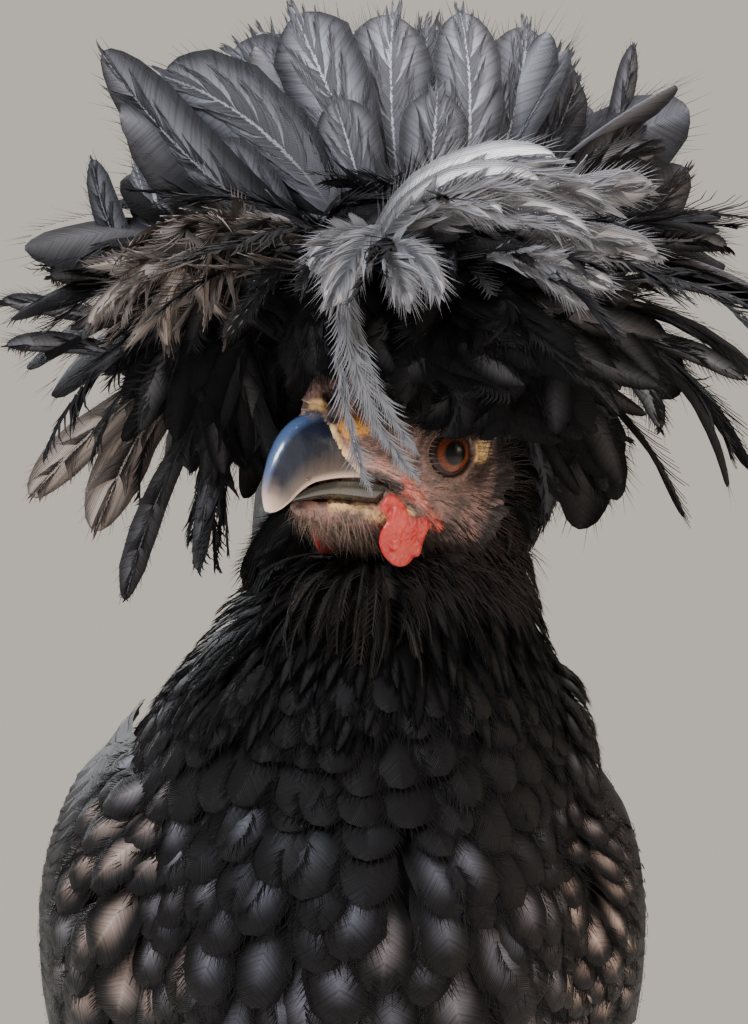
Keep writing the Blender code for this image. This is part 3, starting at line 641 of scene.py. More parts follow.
def add_spikes(coat, root, middle, tip, normal, width, share, spread, tone, home, phase):
    """Thin three-sided barbs. All arrays are (n, ...). Without a middle they are straight. home is the
    root of the feather."""
    bent = middle is not None
    first = unit((middle if bent else tip) - root)
    stations = [(root, first, width)]
    if bent:
        stations.append((middle, unit(first + unit(tip - middle)), 0.75 * width))
    rings = []
    for place, ahead, size in stations:
        side = unit(np.cross(ahead, normal))
        up = unit(np.cross(side, ahead))
        for angle in (math.pi / 2, math.pi * 7 / 6, math.pi * 11 / 6):
            rings.append(place + size[:, None] * (side * math.cos(angle) + 0.6 * up * math.sin(angle)))
    points = np.stack(rings + [tip], axis=1)
    last = len(rings)
    tris = [(0, 2, 1)]
    for i in range(3):
        j = (i + 1) % 3
        if bent:
            tris += [(i, j, 3 + j), (i, 3 + j, 3 + i)]
        tris.append((last - 3 + i, last - 3 + j, last))
    n = len(root)
    steps = np.array([0, 0, 0, 0.5, 0.5, 0.5, 1.0] if bent else [0, 0, 0, 1.0])
    reach = np.linalg.norm(tip - root, axis=1)
    barb = np.stack([0.53 + reach[:, None] * steps / 100, phase[:, None] + 0 * steps[None]], axis=-1)
    shares = share[:, None] + 0 * steps[None]
    spreads = np.clip(spread[:, None] + (1 - spread[:, None]) * steps, 0, 1)
    tones = np.stack([shares, spreads, tone[:, None] + 0 * steps[None]], axis=-1)
    bake = bake_patch(home, (steps[None] - 0.5) + np.zeros((n, 1)), shares)
    coat.add(points, np.array(tris), barb, bake, tones)


# Skin

COAT_DEPTH = 7.0
HEAD_VOXEL = 0.5
BODY_VOXEL = 3.0
LEG_VOXEL = 0.9


def torso_point(y, angle, out):
    """Points off the torso's side: angle 0 is straight out to the left, positive upwards, in radians."""
    z, wide, up, down = read_columns(TORSO, y, 1, 2, 3, 4)
    cosine, sine = np.cos(angle), np.sin(angle)
    across = (wide + out) * np.sign(cosine) * np.abs(cosine) ** TORSO_SQUARE
    rise = (np.where(angle > 0, up, down) + out) * np.sign(sine) * np.abs(sine) ** TORSO_SQUARE
    return np.stack([across, y + 0 * across, z + rise], axis=-1)


def wing_edges(y):
    low, high, thick = read_columns(WING, y, 1, 2, 3)
    return np.radians(low), np.radians(high), thick


def wing_swell(y, angle):
    """Height of the folded wing's surface over the body."""
    low, high, thick = wing_edges(y)
    share = np.clip((angle - low) / (high - low), 0.03, 0.97)
    return thick * np.sin(math.pi * share) ** 0.4


def torso_part():
    rings = []
    for y, z, *sizes in resampled(TORSO, 40):
        sizes = [max(3.0, size - COAT_DEPTH) for size in sizes]
        rings.append(oval(np.array([0, y, z]), X, Z, *sizes, 48, TORSO_SQUARE))
    rings = np.array(rings)
    middle = rings[:, :, 1].mean() + 18
    rings[:, :, 1] = middle + (rings[:, :, 1] - middle) * 0.95
    return loft(rings)


def neck_part():
    rings = []
    for z, x, y, *sizes in resampled(NECK, 30):
        inset = COAT_DEPTH * between(z, [(262, 1.0), (286, 0.35)])
        sizes = [max(3.0, size - inset) for size in sizes]
        rings.append(oval(np.array([x, y, z]), X, -Y, *sizes, 48))
    return loft(np.array(rings))


def arm_part(side):
    """The folded arm under the wing's feathers."""
    rings = []
    steps = 12
    for y in np.linspace(WING[0, 0], WING[-2, 0], 16):
        low, high, _ = wing_edges(y)
        angles = np.linspace(low + 0.05, high - 0.05, steps)
        outer = torso_point(y + 0 * angles, angles, wing_swell(y, angles) - 4.0)
        inner = torso_point(y + 0 * angles, angles, -16.0 + 0 * angles)
        rings.append(np.concatenate([outer, inner[::-1]]))
    return loft(np.array(rings) * mirror(side))


def thigh_part(side):
    centres = np.array([(34, 6, 176), (36, 10, 146), (38, 17, 122), (38.5, 23, 104), (38, 26, 90)], float)
    sizes = np.array([(18, 28, 28), (20, 26, 25), (14, 17, 16), (8.5, 9.5, 9.5), (5.6, 6.4, 6.2)])
    centres, sizes = resampled(centres, 14), resampled(sizes, 14)
    rings = [oval(centre, X, -Y, *size, 24) for centre, size in zip(centres, sizes)]
    return loft(np.array(rings) * mirror(side))


TOES = [
    # heading from straight ahead outwards in degrees, reach, root radius
    (2, 46, 5.0),
    (-34, 36, 4.7),
    (40, 39, 4.5),
    (172, 21, 4.2),
]
TOE_PROFILE = [
    (0, 7.0, 1.0), (0.3, 5.2, 0.98), (0.5, 4.0, 0.82), (0.68, 3.9, 0.86), (0.84, 3.3, 0.72), (1, 3.4, 0.7),
]
CLAW_PROFILE = [(0, 3.6, 2.1), (0.35, 4.0, 1.8), (0.7, 3.0, 1.2), (1, 1.2, 0.35)]
CLAW_LENGTH = 12.0
CLAW_SUNK = 1.5
SOLE_HEIGHT = 0.05


def foot_spot(side):
    """The spot on the ground under the middle of one foot."""
    return np.array([side * FOOT[0], FOOT[1], 0])


def toe_axes(side, heading):
    angle = math.radians(heading)
    out = np.array([side * math.sin(angle), -math.cos(angle), 0])
    return out, np.cross(out, Z)


def shank_part(side):
    top, bottom = HOCK * mirror(side), FOOT * mirror(side)
    stations = [(-0.1, 6.0), (0, 6.6), (0.1, 6.8), (0.24, 4.9), (0.6, 4.5), (0.88, 5.4), (1, 6.0)]
    stations = resampled(np.array(stations), 30)
    centres = np.array([top + (bottom - top) * share for share, _ in stations])
    sizes = np.array([(radius * 0.9, radius * 1.1, radius * 1.1) for _, radius in stations])
    return loft(along_path(centres, sizes, 20))


def toe_part(side, heading, reach, radius):
    out, right = toe_axes(side, heading)
    profile = resampled(np.array(TOE_PROFILE), 24)
    centres = np.array([foot_spot(side) + out * reach * share + Z * height for share, height, _ in profile])
    sizes = np.array([(radius * scale,) * 3 for _, _, scale in profile])
    rings = along_path(centres, sizes, 16, right)
    rings[:, :, 2] = np.maximum(rings[:, :, 2], 0.0)
    return loft(rings)


def pad_part(side):
    rings = []
    for rise in np.linspace(-0.78, 0.98, 14):
        reach = math.sqrt(1 - rise * rise)
        centre = foot_spot(side) + Z * (7 + 8.2 * rise)
        rings.append(oval(centre, X, Y, 8.6 * reach, 9.2 * reach, 9.2 * reach, 20))
    rings = np.array(rings)
    rings[:, :, 2] = np.maximum(rings[:, :, 2], 0.0)
    return loft(rings)


SCUTE = 4.3
TOE_SCUTE = 2.9


def plate_edge(along, period):
    """Rise of overlapping plates: each one grows towards its free edge and drops off there."""
    share = (along / period) % 1.0
    return np.where(share < 0.86, share / 0.86, 1 - (share - 0.86) / 0.14)


def scaled_leg(side):
    """Shank, pad and toes as one surface with raised scutes down the front and along the toes."""
    parts = [shank_part(side), pad_part(side)] + [toe_part(side, *toe) for toe in TOES]
    leg = relaxed(melted("leg", parts, LEG_VOXEL), 3)
    points, normals, _ = arrays_of(leg)
    hock = HOCK * mirror(side)
    from_hock = dot(points - hock, unit(FOOT * mirror(side) - hock))
    front = smoothstep(0.1, 0.6, -normals[:, 1])
    high = smoothstep(14, 22, points[:, 2])
    rise = 0.5 * front * high * (plate_edge(from_hock, SCUTE) - 0.4)
    away = points - foot_spot(side)
    for heading, _, radius in TOES:
        out, right = toe_axes(side, heading)
        along = dot(away, out)
        near = smoothstep(radius * 1.5, radius * 0.9, np.abs(dot(away, right))) * (along > 7)
        top = smoothstep(0.2, 0.6, normals[:, 2]) * (1 - high)
        rise += 0.4 * near * top * (plate_edge(along, TOE_SCUTE) - 0.4)
        under = smoothstep(-0.3, -0.7, normals[:, 2]) * (1 - high)
        rise += 0.3 * near * under * np.sin(along * math.tau / 6.5)
    points = points + normals * rise[:, None]
    points[:, 2] = np.maximum(points[:, 2], SOLE_HEIGHT)
    set_points(leg, points)
    return leg


# Features of the face in the head's frame: forward, out to the side, up

GAPE_LINE = [(21, 7.6, -5.0), (15.9, 9.5, -5.6), (10.1, 10.7, -7.9), (8.4, 11.2, -9.2)]
PINK_LINE = [(23.1, 7.5, -1.1), (17.7, 9.6, -1.7), (11.4, 10.9, -4.9), (5.9, 11.6, -9.1), (0, 11.4, -13.5)]
YELLOW_LINE = [(24, 4.3, -10.6), (17.8, 6.1, -11.4), (13.5, 7.5, -12.8), (9, 11, -10.9)]
BROW_LINE = [(9, 12, 6.6), (1, 15, 7.4), (-8, 16.5, 6.8)]
CERE_DOME = (24.3, 0.0, 8.8), (4.6, 5.0, 6.0)
NOSTRIL = (26.9, 3.4, 10.9)
CERE_KNOB = (28.2, 1.6, 8.6)
# Lumps and hollows: place, radii, height
FACE_LUMPS = [
    (NOSTRIL, (3.0, 3.0, 3.8), 1.0),
    (NOSTRIL, (1.35, 1.6, 2.1), -5.0),
    (CERE_KNOB, (1.2, 1.3, 1.2), 0.9),
    ((9.0, 11.2, -10.9), (2.0, 3.0, 1.9), 1.6),
    ((23.4, 6.4, 4.9), (2.0, 2.4, 2.0), 0.8),
    ((20.8, 7.4, 5.7), (1.6, 2.4, 1.8), 0.7),
]
# Folds and furrows: line, width, height
FACE_FOLDS = [
    (BROW_LINE, 1.9, 1.5),
    (PINK_LINE, 1.4, 0.8),
    (YELLOW_LINE, 1.2, 0.6),
    (GAPE_LINE, 0.55, -1.4),
]
CREASES = 5
# Colours that run along lines: colour, line, width, strength
COLOUR_LINES = [
    ("pink", PINK_LINE[:4], 1.9, 1.0),
    ("red", PINK_LINE[2:], 1.5, 1.0),
    ("red", [(12, 9, -13), (6, 9, -17)], 2.8, 1.0),
    ("cream", [(27.4, 4.8, 4.4), (25.6, 6.4, -0.4), (22.0, 7.6, -3.6)], 1.0, 1.0),
    ("cream", YELLOW_LINE, 1.35, 1.0),
    ("dark", [(19.5, 8.6, -4.8), (15.4, 9.6, -4.6), (12.6, 10.4, -6.2)], 1.5, 1.2),
]
# Colours in spots: colour, place, radii, strength
COLOUR_SPOTS = [
    ("pink", (22, 5, 8), (4, 3.5, 3), 0.8),
    ("cream", CERE_KNOB, (1.5, 1.6, 1.4), 1.3),
    ("cream", (-6.0, 15.4, 2.4), (1.5, 4, 2.4), 1.4),
    ("ochre", (23.6, 6.2, 4.8), (1.9, 3, 1.9), 1.4),
    ("ochre", (20.9, 7.2, 5.7), (1.6, 3, 1.7), 1.3),
    ("dark", NOSTRIL, (1.5, 2.0, 2.1), 1.6),
    ("dark", (27.2, 4.6, 6.4), (1.4, 2.0, 1.5), 0.9),
]
FACE_TINTS = {
    "pink": (0.52, 0.25, 0.21),
    "red": (0.56, 0.075, 0.05),
    "cream": (0.72, 0.46, 0.20),
    "ochre": (0.68, 0.28, 0.035),
    "lid": (0.10, 0.05, 0.035),
    "dark": (0.016, 0.012, 0.012),
}
# Where the horn of the upper bill begins: height and how far forward
HORN_START = [(-5.2, 20.6), (-3.3, 22.6), (-0.9, 25.4), (2.1, 27.6), (6.4, 28.4), (9, 27.0), (12, 60)]
LOWER_HORN_START = 14.5
# Lids, for each distance from the eye's axis: rise of the rim, and height of the skin that carries it
LID_RIM = [(0, -4), (4.3, -4), (4.7, 0.55), (5.2, 0.95), (5.9, 1.0), (6.5, 1.15), (7.2, 0.7), (7.9, 1.0)]
LID_FALL = [(4.5, 5.0), (6.4, 4.1), (8.5, 3.2)]


def head_place(forward, out, up):
    return np.array([out, -forward, up], float)


def face_line(side, points):
    """Places of the face on one side of the head."""
    return [head_place(forward, side * out, up) for forward, out, up in points]


def swelling(points, centre, radii, height):
    """Rise of a rounded lump, for each point of the head."""
    away = (points - centre) / np.array(radii, float)
    return height * np.exp(-dot(away, away))


def near_line(points, line, width):
    """1 on a line of straight stretches, falling off to its sides."""
    best = np.full(len(points), 1e9)
    for start, end in zip(line, line[1:]):
        way = end - start
        share = np.clip(dot(points - start, way) / way.dot(way), 0, 1)
        best = np.minimum(best, np.linalg.norm(points - start - share[:, None] * way, axis=1))
    return np.exp(-((best / width) ** 2))


def face_rise(local, side):
    """Folds and lumps on one side of the face, along the skin's normal."""
    rise = np.zeros(len(local))
    for place, radii, height in FACE_LUMPS:
        rise += swelling(local, *face_line(side, [place]), radii, height)
    for line, width, height in FACE_FOLDS:
        rise += height * near_line(local, face_line(side, line), width)
    for i in range(CREASES):
        start, end = face_line(side, [(19 - 2.6 * i, 9, 3.4 - 0.9 * i), (7 - 1.5 * i, 13, -9 - 1.5 * i)])
        rise -= 0.35 * near_line(local, [start, (start + end) / 2 + side * X, end], 0.5)
    return rise


def under_horn(local):
    """1 where the skin ducks under the horn of the bill."""
    forward, up = -local[:, 1], local[:, 2]
    upper = (up > -5.2) & (forward > between(up, HORN_START))
    lower = (up <= -5.2) & (up > -10.7) & (forward > LOWER_HORN_START)
    return (upper | lower).astype(float)


def eye_axis(side):
    """The way one eye faces, in the head's frame."""
    return np.array([side * math.cos(LID_TURN), -math.sin(LID_TURN), 0])


def from_eye(local, side):
    """How far points stand out from the middle of one eye, and their offset square to its axis."""
    away = local - EYE_PLACE * mirror(side)
    depth = away @ eye_axis(side)
    return depth, away - depth[:, None] * eye_axis(side)


def lid_shape(local, side):
    """Moves the skin round one eye: an opening with a raised rim over the eyeball, and creases outside it."""
    depth, flat = from_eye(local, side)
    up = flat[:, 2]
    along = flat @ np.cross(eye_axis(side), Z)
    reach = np.sqrt((along * 0.94) ** 2 + (up * np.where(up > 0, 1.16, 1.0)) ** 2)
    outside = depth > 0
    ball = np.sqrt(np.maximum(EYE_RADIUS**2 - reach**2, 0))
    rim = between(reach, LID_RIM)
    wanted = np.where(reach < 4.5, ball - 4, between(reach, LID_FALL) + rim - 0.6)
    blend = smoothstep(9.2, 7.0, reach) * outside
    inside = smoothstep(5.0, 4.4, reach)
    target = wanted * (1 - inside) + (ball - 4) * inside
    return (blend * (target - depth))[:, None] * eye_axis(side)


def whole_section(section):
    """All round a bill's section from its right half: out and up for each point."""
    half = resampled(np.array(section, float), BILL_SIDES // 2 + 1)
    return np.concatenate([half, half[-2:0:-1] * np.array([-1, 1])])


def bill_rings(table, count, section):
    """Rings of a bill from its sections. Each runs from the ridge by the left side to the palate and back."""
    rows = resampled(table, count)
    shape = whole_section(section)
    ridge = np.stack([0 * rows[:, 0], -rows[:, 0], rows[:, 1]], axis=1)
    edge = np.stack([0 * rows[:, 0], -rows[:, 2], rows[:, 3]], axis=1)
    middle, up = (ridge + edge) / 2, (ridge - edge) / 2
    across = rows[:, 4, None, None] * shape[None, :, :1] * X
    return middle[:, None] + across + up[:, None] * shape[None, :, 1:]


BALL_ROWS = 30
BALL_SIDES = 48


def ball_rings(centre, radii):
    rings = []
    for rise in np.linspace(-0.998, 0.998, BALL_ROWS):
        wide, deep = (math.sqrt(1 - rise * rise) * radius for radius in radii[:2])
        rings.append(oval(centre + Z * radii[2] * rise, X, Y, wide, deep, deep, BALL_SIDES))
    return np.array(rings)


def head_skin():
    """The head down to her nape with cere, nostrils, gape, lids, the folds between bill and eye, and the knob
    that carries the crest."""
    parts = []
    for table, count in ((SKULL, 40), (CHIN, 24)):
        rows = resampled(table, count)
        centres = np.array([(0, -row[0], row[1]) for row in rows])
        parts.append(along_path(centres, rows[:, 2:], 48))
    parts.append(bill_rings(UPPER_BILL[:7], 24, UPPER_SECTION))
    parts.append(bill_rings(LOWER_BILL[:5], 16, LOWER_SECTION))
    parts.append(ball_rings(head_place(*CERE_DOME[0]), np.array(CERE_DOME[1])[[1, 0, 2]]))
    points, tris = joined([loft(rings) for rings in parts])
    knob_points, knob_tris = loft(ball_rings(Z * CREST_LIFT, CREST_KNOB))
    whole = joined([(from_head(points), tris), (from_crest(knob_points), knob_tris)])
    head = relaxed(melted("head_skin", [whole], HEAD_VOXEL), 5)
    points, normals, _ = arrays_of(head)
    local, facing = to_head(points), normals @ HEAD
    rise = sum(face_rise(local, side) for side in (-1, 1))
    ripple = np.sin(local[:, 0] * 2.3 + local[:, 2] * 1.1) * np.sin(local[:, 1] * 1.9 - local[:, 2] * 1.7)
    rise += 0.10 * ripple + 0.35
    rise -= 1.9 * under_horn(local)
    local = local + facing * rise[:, None]
    for side in (-1, 1):
        local = local + lid_shape(local, side)
    set_points(head, from_head(local))
    return head


def face_material():
    """Blotched skin with the coloured patches of the face and fine pores."""
    face = Nodes("face_skin")
    place = face.place()
    blotch = face.noise(260.0, 4.0)
    fine = face.noise(1100.0, 3.0)
    colour = face.mix(face.ramp(blotch, 0.35, 0.65), (0.07, 0.042, 0.036), (0.27, 0.145, 0.12))
    for name, tint in FACE_TINTS.items():
        ragged = face.math("ADD", face.attribute(name), face.ramp(blotch, 0.35, 0.65, -0.22, 0.12))
        colour = face.mix(face.ramp(ragged, 0.1, 0.7), colour, tint)
    colour = face.mix(face.ramp(fine, 0.52, 0.72, 0.0, 0.5), colour, (0.06, 0.03, 0.028))
    cells = face.node("ShaderNodeTexVoronoi", 0, Vector=place, Scale=1100.0)
    height = face.math("ADD", cells, face.math("MULTIPLY", fine, 0.8))
    return face.finish(
        Base_Color=colour,
        Roughness=face.ramp(blotch, 0.3, 0.7, 0.40, 0.62),
        Normal=face.bump(height, 0.0003, 0.7),
        Subsurface_Weight=0.1,
        Subsurface_Radius=(0.0012, 0.0005, 0.0003),
        Subsurface_Scale=1.0,
    )


def under_material():
    """Near black skin under the feathers, so that no gap between them shows."""
    under = Nodes("feathered_skin")
    return under.finish(
        Base_Color=under.mix(under.noise(260.0), (0.0015, 0.0014, 0.0016), (0.005, 0.0045, 0.0045)),
        Roughness=0.85,
        Specular_IOR_Level=0.1,
        Normal=under.bump(under.noise(1200.0), 0.0005, 0.8),
    )


def leg_material():
    """Slate-coloured scales with dark grooves."""
    leg = Nodes("scaled_leg")
    cells = leg.node(
        "ShaderNodeTexVoronoi", 0, {"feature": "DISTANCE_TO_EDGE"}, Vector=leg.place(), Scale=520.0,
    )
    groove = leg.ramp(cells, 0.0, 0.12)
    tint = leg.mix(leg.noise(90.0), (0.035, 0.045, 0.055), (0.115, 0.125, 0.13))
    return leg.finish(
        Base_Color=leg.mix(groove, (0.03, 0.028, 0.028), tint),
        Roughness=leg.ramp(leg.noise(300.0), 0.3, 0.7, 0.34, 0.55),
        Normal=leg.bump(leg.math("ADD", groove, leg.math("MULTIPLY", leg.noise(900.0), 0.4)), 0.0003, 0.6),
    )


def face_masks(local):
    """Where each colour of the face lies."""
    forward, up = -local[:, 1], local[:, 2]
    masks = {name: np.zeros(len(local)) for name in FACE_TINTS}
    for side in (-1, 1):
        for name, line, width, strength in COLOUR_LINES:
            masks[name] += strength * near_line(local, face_line(side, line), width)
        for name, place, radii, strength in COLOUR_SPOTS:
            masks[name] += swelling(local, *face_line(side, [place]), radii, strength)
        depth, flat = from_eye(local, side)
        reach = np.linalg.norm(flat, axis=1)
        masks["lid"] += np.exp(-(((reach - 5.2) / 1.2) ** 2)) * (depth > 0)
    masks["dark"] += smoothstep(-6.5, -9.5, forward) + smoothstep(6, 8.5, up) * smoothstep(20, 14, forward)
    masks["dark"] += smoothstep(-14.5, -18.5, up) + smoothstep(13, 16, up)
    return masks


# Places of the skin's materials in its list
FACE_KIND, FEATHERED_KIND, LEG_KIND = range(3)


def paint_skin(skin):
    """Marks the regions of the face, and gives head, body and legs their materials."""
    points, _, _ = arrays_of(skin)
    local = to_head(points)
    for name, values in face_masks(local).items():
        layer = skin.data.attributes.new(name, "FLOAT", "POINT")
        layer.data.foreach_set("value", np.clip(values, 0, 1).astype(np.float32))
    skin.data.materials.clear()
    for material in (face_material(), under_material(), leg_material()):
        skin.data.materials.append(material)
    count = len(skin.data.polygons)
    start = np.empty(count, np.int32)
    skin.data.polygons.foreach_get("loop_start", start)
    corner = np.empty(len(skin.data.loops), np.int32)
    skin.data.loops.foreach_get("vertex_index", corner)
    first = corner[start]
    kind = np.where(points[first, 2] < HOCK[2] + 1, LEG_KIND, FEATHERED_KIND)
    bare = (points[first, 2] > 284) & (-local[first, 1] > -12) & (local[first, 2] < 17)
    kind[bare] = FACE_KIND
    skin.data.polygons.foreach_set("material_index", kind.astype(np.int32))
    skin.data.shade_smooth()


def build_skin():
    """One surface from bill to toes under the feathers."""
    parts = [torso_part(), neck_part()] + [make(side) for side in (-1, 1) for make in (arm_part, thigh_part)]
    skin = relaxed(melted("skin", parts, BODY_VOXEL), 4)
    united(skin, [head_skin(), scaled_leg(-1), scaled_leg(1)])
    paint_skin(skin)
    nodes = ["torso", "neck", "head"]
    for name in ("left", "right"):
        nodes += ["thigh_" + name, "shank_" + name, "foot_" + name]
        nodes += [f"toe_{toe}_{name}" for toe in ("middle", "inner", "outer", "hind")]
    stand_in(skin, "skin", *nodes)
    return skin


# Eyes, bill, claws and flesh


def eye_material():
    """Wide dark pupil, rayed orange-brown iris with a dark rim, and a wet surface."""
    eye = Nodes("eye")
    angle, round_share = eye.split(eye.attribute("iris", "Color"))[:2]
    rays = eye.node("ShaderNodeCombineXYZ", 0, (), i0=eye.math("MULTIPLY", angle, 0.35), i1=round_share)
    streak = eye.noise(24.0, 4.0, rays, (1.0, 3.2, 1.0))
    iris = eye.mix(eye.ramp(streak, 0.3, 0.7), (0.05, 0.011, 0.004), (0.17, 0.042, 0.011))
    iris = eye.mix(eye.ramp(angle, 0.36, 0.46), (0.04, 0.009, 0.004), iris)
    iris = eye.mix(eye.ramp(angle, 0.56, 0.64), iris, (0.012, 0.006, 0.005))
    colour = eye.mix(eye.ramp(angle, 0.34, 0.365), (0.0015, 0.0015, 0.0015), iris)
    colour = eye.mix(eye.ramp(angle, 0.64, 0.72), colour, (0.03, 0.018, 0.016))
    return eye.finish(
        Base_Color=colour,
        Roughness=0.3,
        Specular_IOR_Level=0.12,
        Coat_Weight=0.1,
        Coat_Roughness=0.03,
    )


def build_eye(name, side, material):
    """A ball with a slightly bulging cornea, facing out of its socket."""
    axis = eye_axis(side)
    right = unit(np.cross(axis, Z))
    sides, rows = 64, 44
    rings, marks = [], []
    for angle in np.linspace(0.02, math.pi - 0.02, rows):
        radius = EYE_RADIUS + 0.35 * np.exp(-((angle / 0.5) ** 2))
        centre = EYE_PLACE * mirror(side) + axis * math.cos(angle) * radius
        rings.append(oval(centre, right, Z, *(3 * [radius * math.sin(angle)]), sides))
        marks.append(np.stack([np.full(sides, angle), np.linspace(0, 1, sides), np.zeros(sides)], axis=1))
    points, tris = loft(np.array(rings))
    obj = mesh_object(name + "_ball", from_head(points), tris)
    mark_points(obj, "iris", np.concatenate(marks + [[[0, 0, 0]], [[math.pi, 0, 0]]]))
    obj.data.materials.append(material)
    stand_in(obj, "eye", name)


def horn_material(name, dark, pale, tip_start, tip_end, ridge=0.0):
    """Polished horn, dark and bluish, paler towards the tip and the cutting edge, with a painted bluish
    highlight along the ridge as strong as ridge. The share along it and the nearness to that edge are
    attributes."""
    horn = Nodes(name)
    share, edge = horn.split(horn.attribute("horn", "Color"))[:2]
    grain = horn.noise(700.0, 4.0, stretch=(1.0, 1.0, 0.25))
    cloud = horn.noise(170.0, 3.0)
    base = horn.mix(horn.ramp(cloud, 0.35, 0.7), dark, tuple(1.8 * part for part in dark))
    base = horn.mix(horn.ramp(edge, 0.42, 0.95), base, tuple(0.14 * part for part in pale))
    # Painted highlight: a bluish tint near the ridge stands for the lamp's reflection on the culmen.
    base = horn.mix(horn.ramp(edge, 0.12, 0.0, 0.0, ridge), base, (0.06, 0.10, 0.21))
    wobble = horn.math("ADD", share, horn.math("MULTIPLY", horn.math("SUBTRACT", cloud, 0.5), 0.14))
    pale_tip, pale_edge = horn.ramp(wobble, tip_start, tip_end), horn.ramp(edge, 0.86, 1.0, 0.0, 0.8)
    tip = horn.math("ADD", pale_tip, pale_edge, clamp=True)
    colour = horn.mix(tip, base, pale)
    return horn.finish(
        Base_Color=colour,
        Roughness=horn.ramp(grain, 0.3, 0.75, 0.16, 0.34),
        Normal=horn.bump(horn.math("ADD", grain, horn.math("MULTIPLY", cloud, 0.8)), 0.00018, 0.35),
        Coat_Weight=0.35,
        Coat_Roughness=0.12,
        Specular_IOR_Level=0.6,
    )


def horn_object(node, rings, edges, material, to_frame=from_head):
    """Horn along rings, marked with the share along it and the nearness to its cutting edge."""
    points, tris = loft(rings)
    obj = mesh_object(node + "_horn", to_frame(points), tris)
    rows, sides = rings.shape[:2]
    shares = np.repeat(np.linspace(0, 1, rows), sides)
    marks = np.stack([shares, edges.ravel(), 0 * shares], axis=1)
    mark_points(obj, "horn", np.concatenate([marks, [[0, 0, 0]], [[1, 0, 0]]]))
    obj.data.materials.append(material)
    stand_in(obj, "horn", node)


def build_bill():
    """Both halves of the bill: a ridged culmen, pressed flanks and a sharp pale cutting edge."""
    # The upper bill carries the painted bluish highlight along its ridge, at strength 0.8.
    upper = horn_material("bill_horn", (0.008, 0.010, 0.018), (0.62, 0.42, 0.33), 0.70, 0.98, 0.8)
    lower = horn_material("lower_bill_horn", (0.020, 0.017, 0.011), (0.27, 0.19, 0.12), 0.9, 1.3)
    high = (1 - whole_section(UPPER_SECTION)[:, 1]) / 2
    low = 0.4 * (1 + whole_section(LOWER_SECTION)[:, 1]) / 2
    for node, table, section, count, edges, material in (
        ("beak_upper", UPPER_BILL, UPPER_SECTION, 90, high, upper),
        ("beak_lower", LOWER_BILL, LOWER_SECTION, 60, low, lower),
    ):
        horn_object(node, bill_rings(table, count, section), np.tile(edges, (count, 1)), material)


def build_claws():
    """A claw at the end of each toe."""
    material = horn_material("claw_horn", (0.05, 0.045, 0.042), (0.28, 0.22, 0.17), 0.4, 1.1)
    profile = resampled(np.array(CLAW_PROFILE), 24)
    for side, name in ((1, "left"), (-1, "right")):
        for toe, (heading, reach, _) in zip(("middle", "inner", "outer", "hind"), TOES):
            out, right = toe_axes(side, heading)
            tip = foot_spot(side) + out * (reach - CLAW_SUNK)
            centres = np.array([tip + out * CLAW_LENGTH * share + Z * height for share, height, _ in profile])
            sizes = np.array([(thick * 0.75, thick, thick) for _, _, thick in profile])
            rings = along_path(centres, sizes, 20, right)
            rings[:, :, 2] = np.maximum(rings[:, :, 2], SOLE_HEIGHT)
            horn_object(f"claw_{toe}_{name}", rings, np.zeros(rings.shape[:2]), material, np.asarray)


def flesh_material(name, red, pale, dark):
    flesh = Nodes(name)
    blotch = flesh.noise(220.0, 4.0)
    cells = flesh.node("ShaderNodeTexVoronoi", 0, Vector=flesh.place(), Scale=900.0)
    colour = flesh.mix(flesh.ramp(blotch, 0.35, 0.7), red, pale)
    colour = flesh.mix(flesh.ramp(flesh.noise(90.0), 0.6, 0.8, 0.0, 0.7), colour, dark)
    return flesh.finish(
        Base_Color=colour,
        Roughness=flesh.ramp(blotch, 0.3, 0.7, 0.34, 0.52),
        Normal=flesh.bump(flesh.math("ADD", cells, flesh.noise(400.0)), 0.0004, 0.6),
        Subsurface_Weight=0.15,
        Subsurface_Radius=(0.0015, 0.0004, 0.0003),
        Subsurface_Scale=1.0,
    )


def lobe(centre, radii, folds, rows=40, sides=56):
    """A hanging flap: an egg with folds that run down it, thinner towards its lower edge."""
    rings = []
    for rise in np.linspace(0.998, -0.998, rows):
        reach = math.sqrt(1 - rise * rise)
        angle = np.arange(sides) * math.tau / sides
        wave = 1 + folds * np.sin(angle * 5 + rise * 2.2) * (1 - abs(rise)) * np.abs(np.cos(angle))
        thin = between(rise, [(-1, 0.55), (0.2, 1.0), (1, 1.0)])
        wide = between(rise, [(-1, 1.1), (0.0, 1.12), (1, 0.85)])
        x = radii[0] * reach * thin * np.cos(angle) * wave + 0.5 * math.sin(rise * 4)
        y = radii[1] * reach * wide * np.sin(angle)
        rings.append(np.stack([x, y, np.full(sides, radii[2] * rise)], axis=1) + centre)
    return loft(np.array(rings))


FLESH_VOXEL = 0.3
# Lobes of bare flesh on the left side: place, radii, depth of the folds
WATTLE_LOBES = [
    ((9.6, -8.6, -15.4), (1.7, 5.6, 6.8), 0.22),
    ((10.4, -11.4, -13.6), (1.5, 2.4, 5.4), 0.2),
    ((10.2, -4.6, -14.6), (1.5, 2.4, 5.4), 0.2),
    ((9.4, -13.2, -9.6), (1.3, 1.9, 2.6), 0.1),
]
EARLOBE = ((17.4, 9.8, -8), (1.5, 2.2, 3.0), 0.12)
COMB_LOBES = [
    ((-2.4, -17.5, 12), (1.6, 2.0, 3.8), 0.2),
    ((2.4, -17.5, 12), (1.6, 2.0, 3.8), 0.2),
    ((0, -17, 9.6), (3.4, 2.8, 2.6), 0.1),
]


def finish_flesh(obj, material, node):
    obj.data.shade_smooth()
    obj.data.materials.append(material)
    stand_in(obj, "flesh", node)


def melted_lobes(name, lobes):
    """Several lobes of the head's frame as one smooth piece."""
    points, tris = joined(lobes)
    return relaxed(melted(name, [(from_head(points), tris)], FLESH_VOXEL), 2)


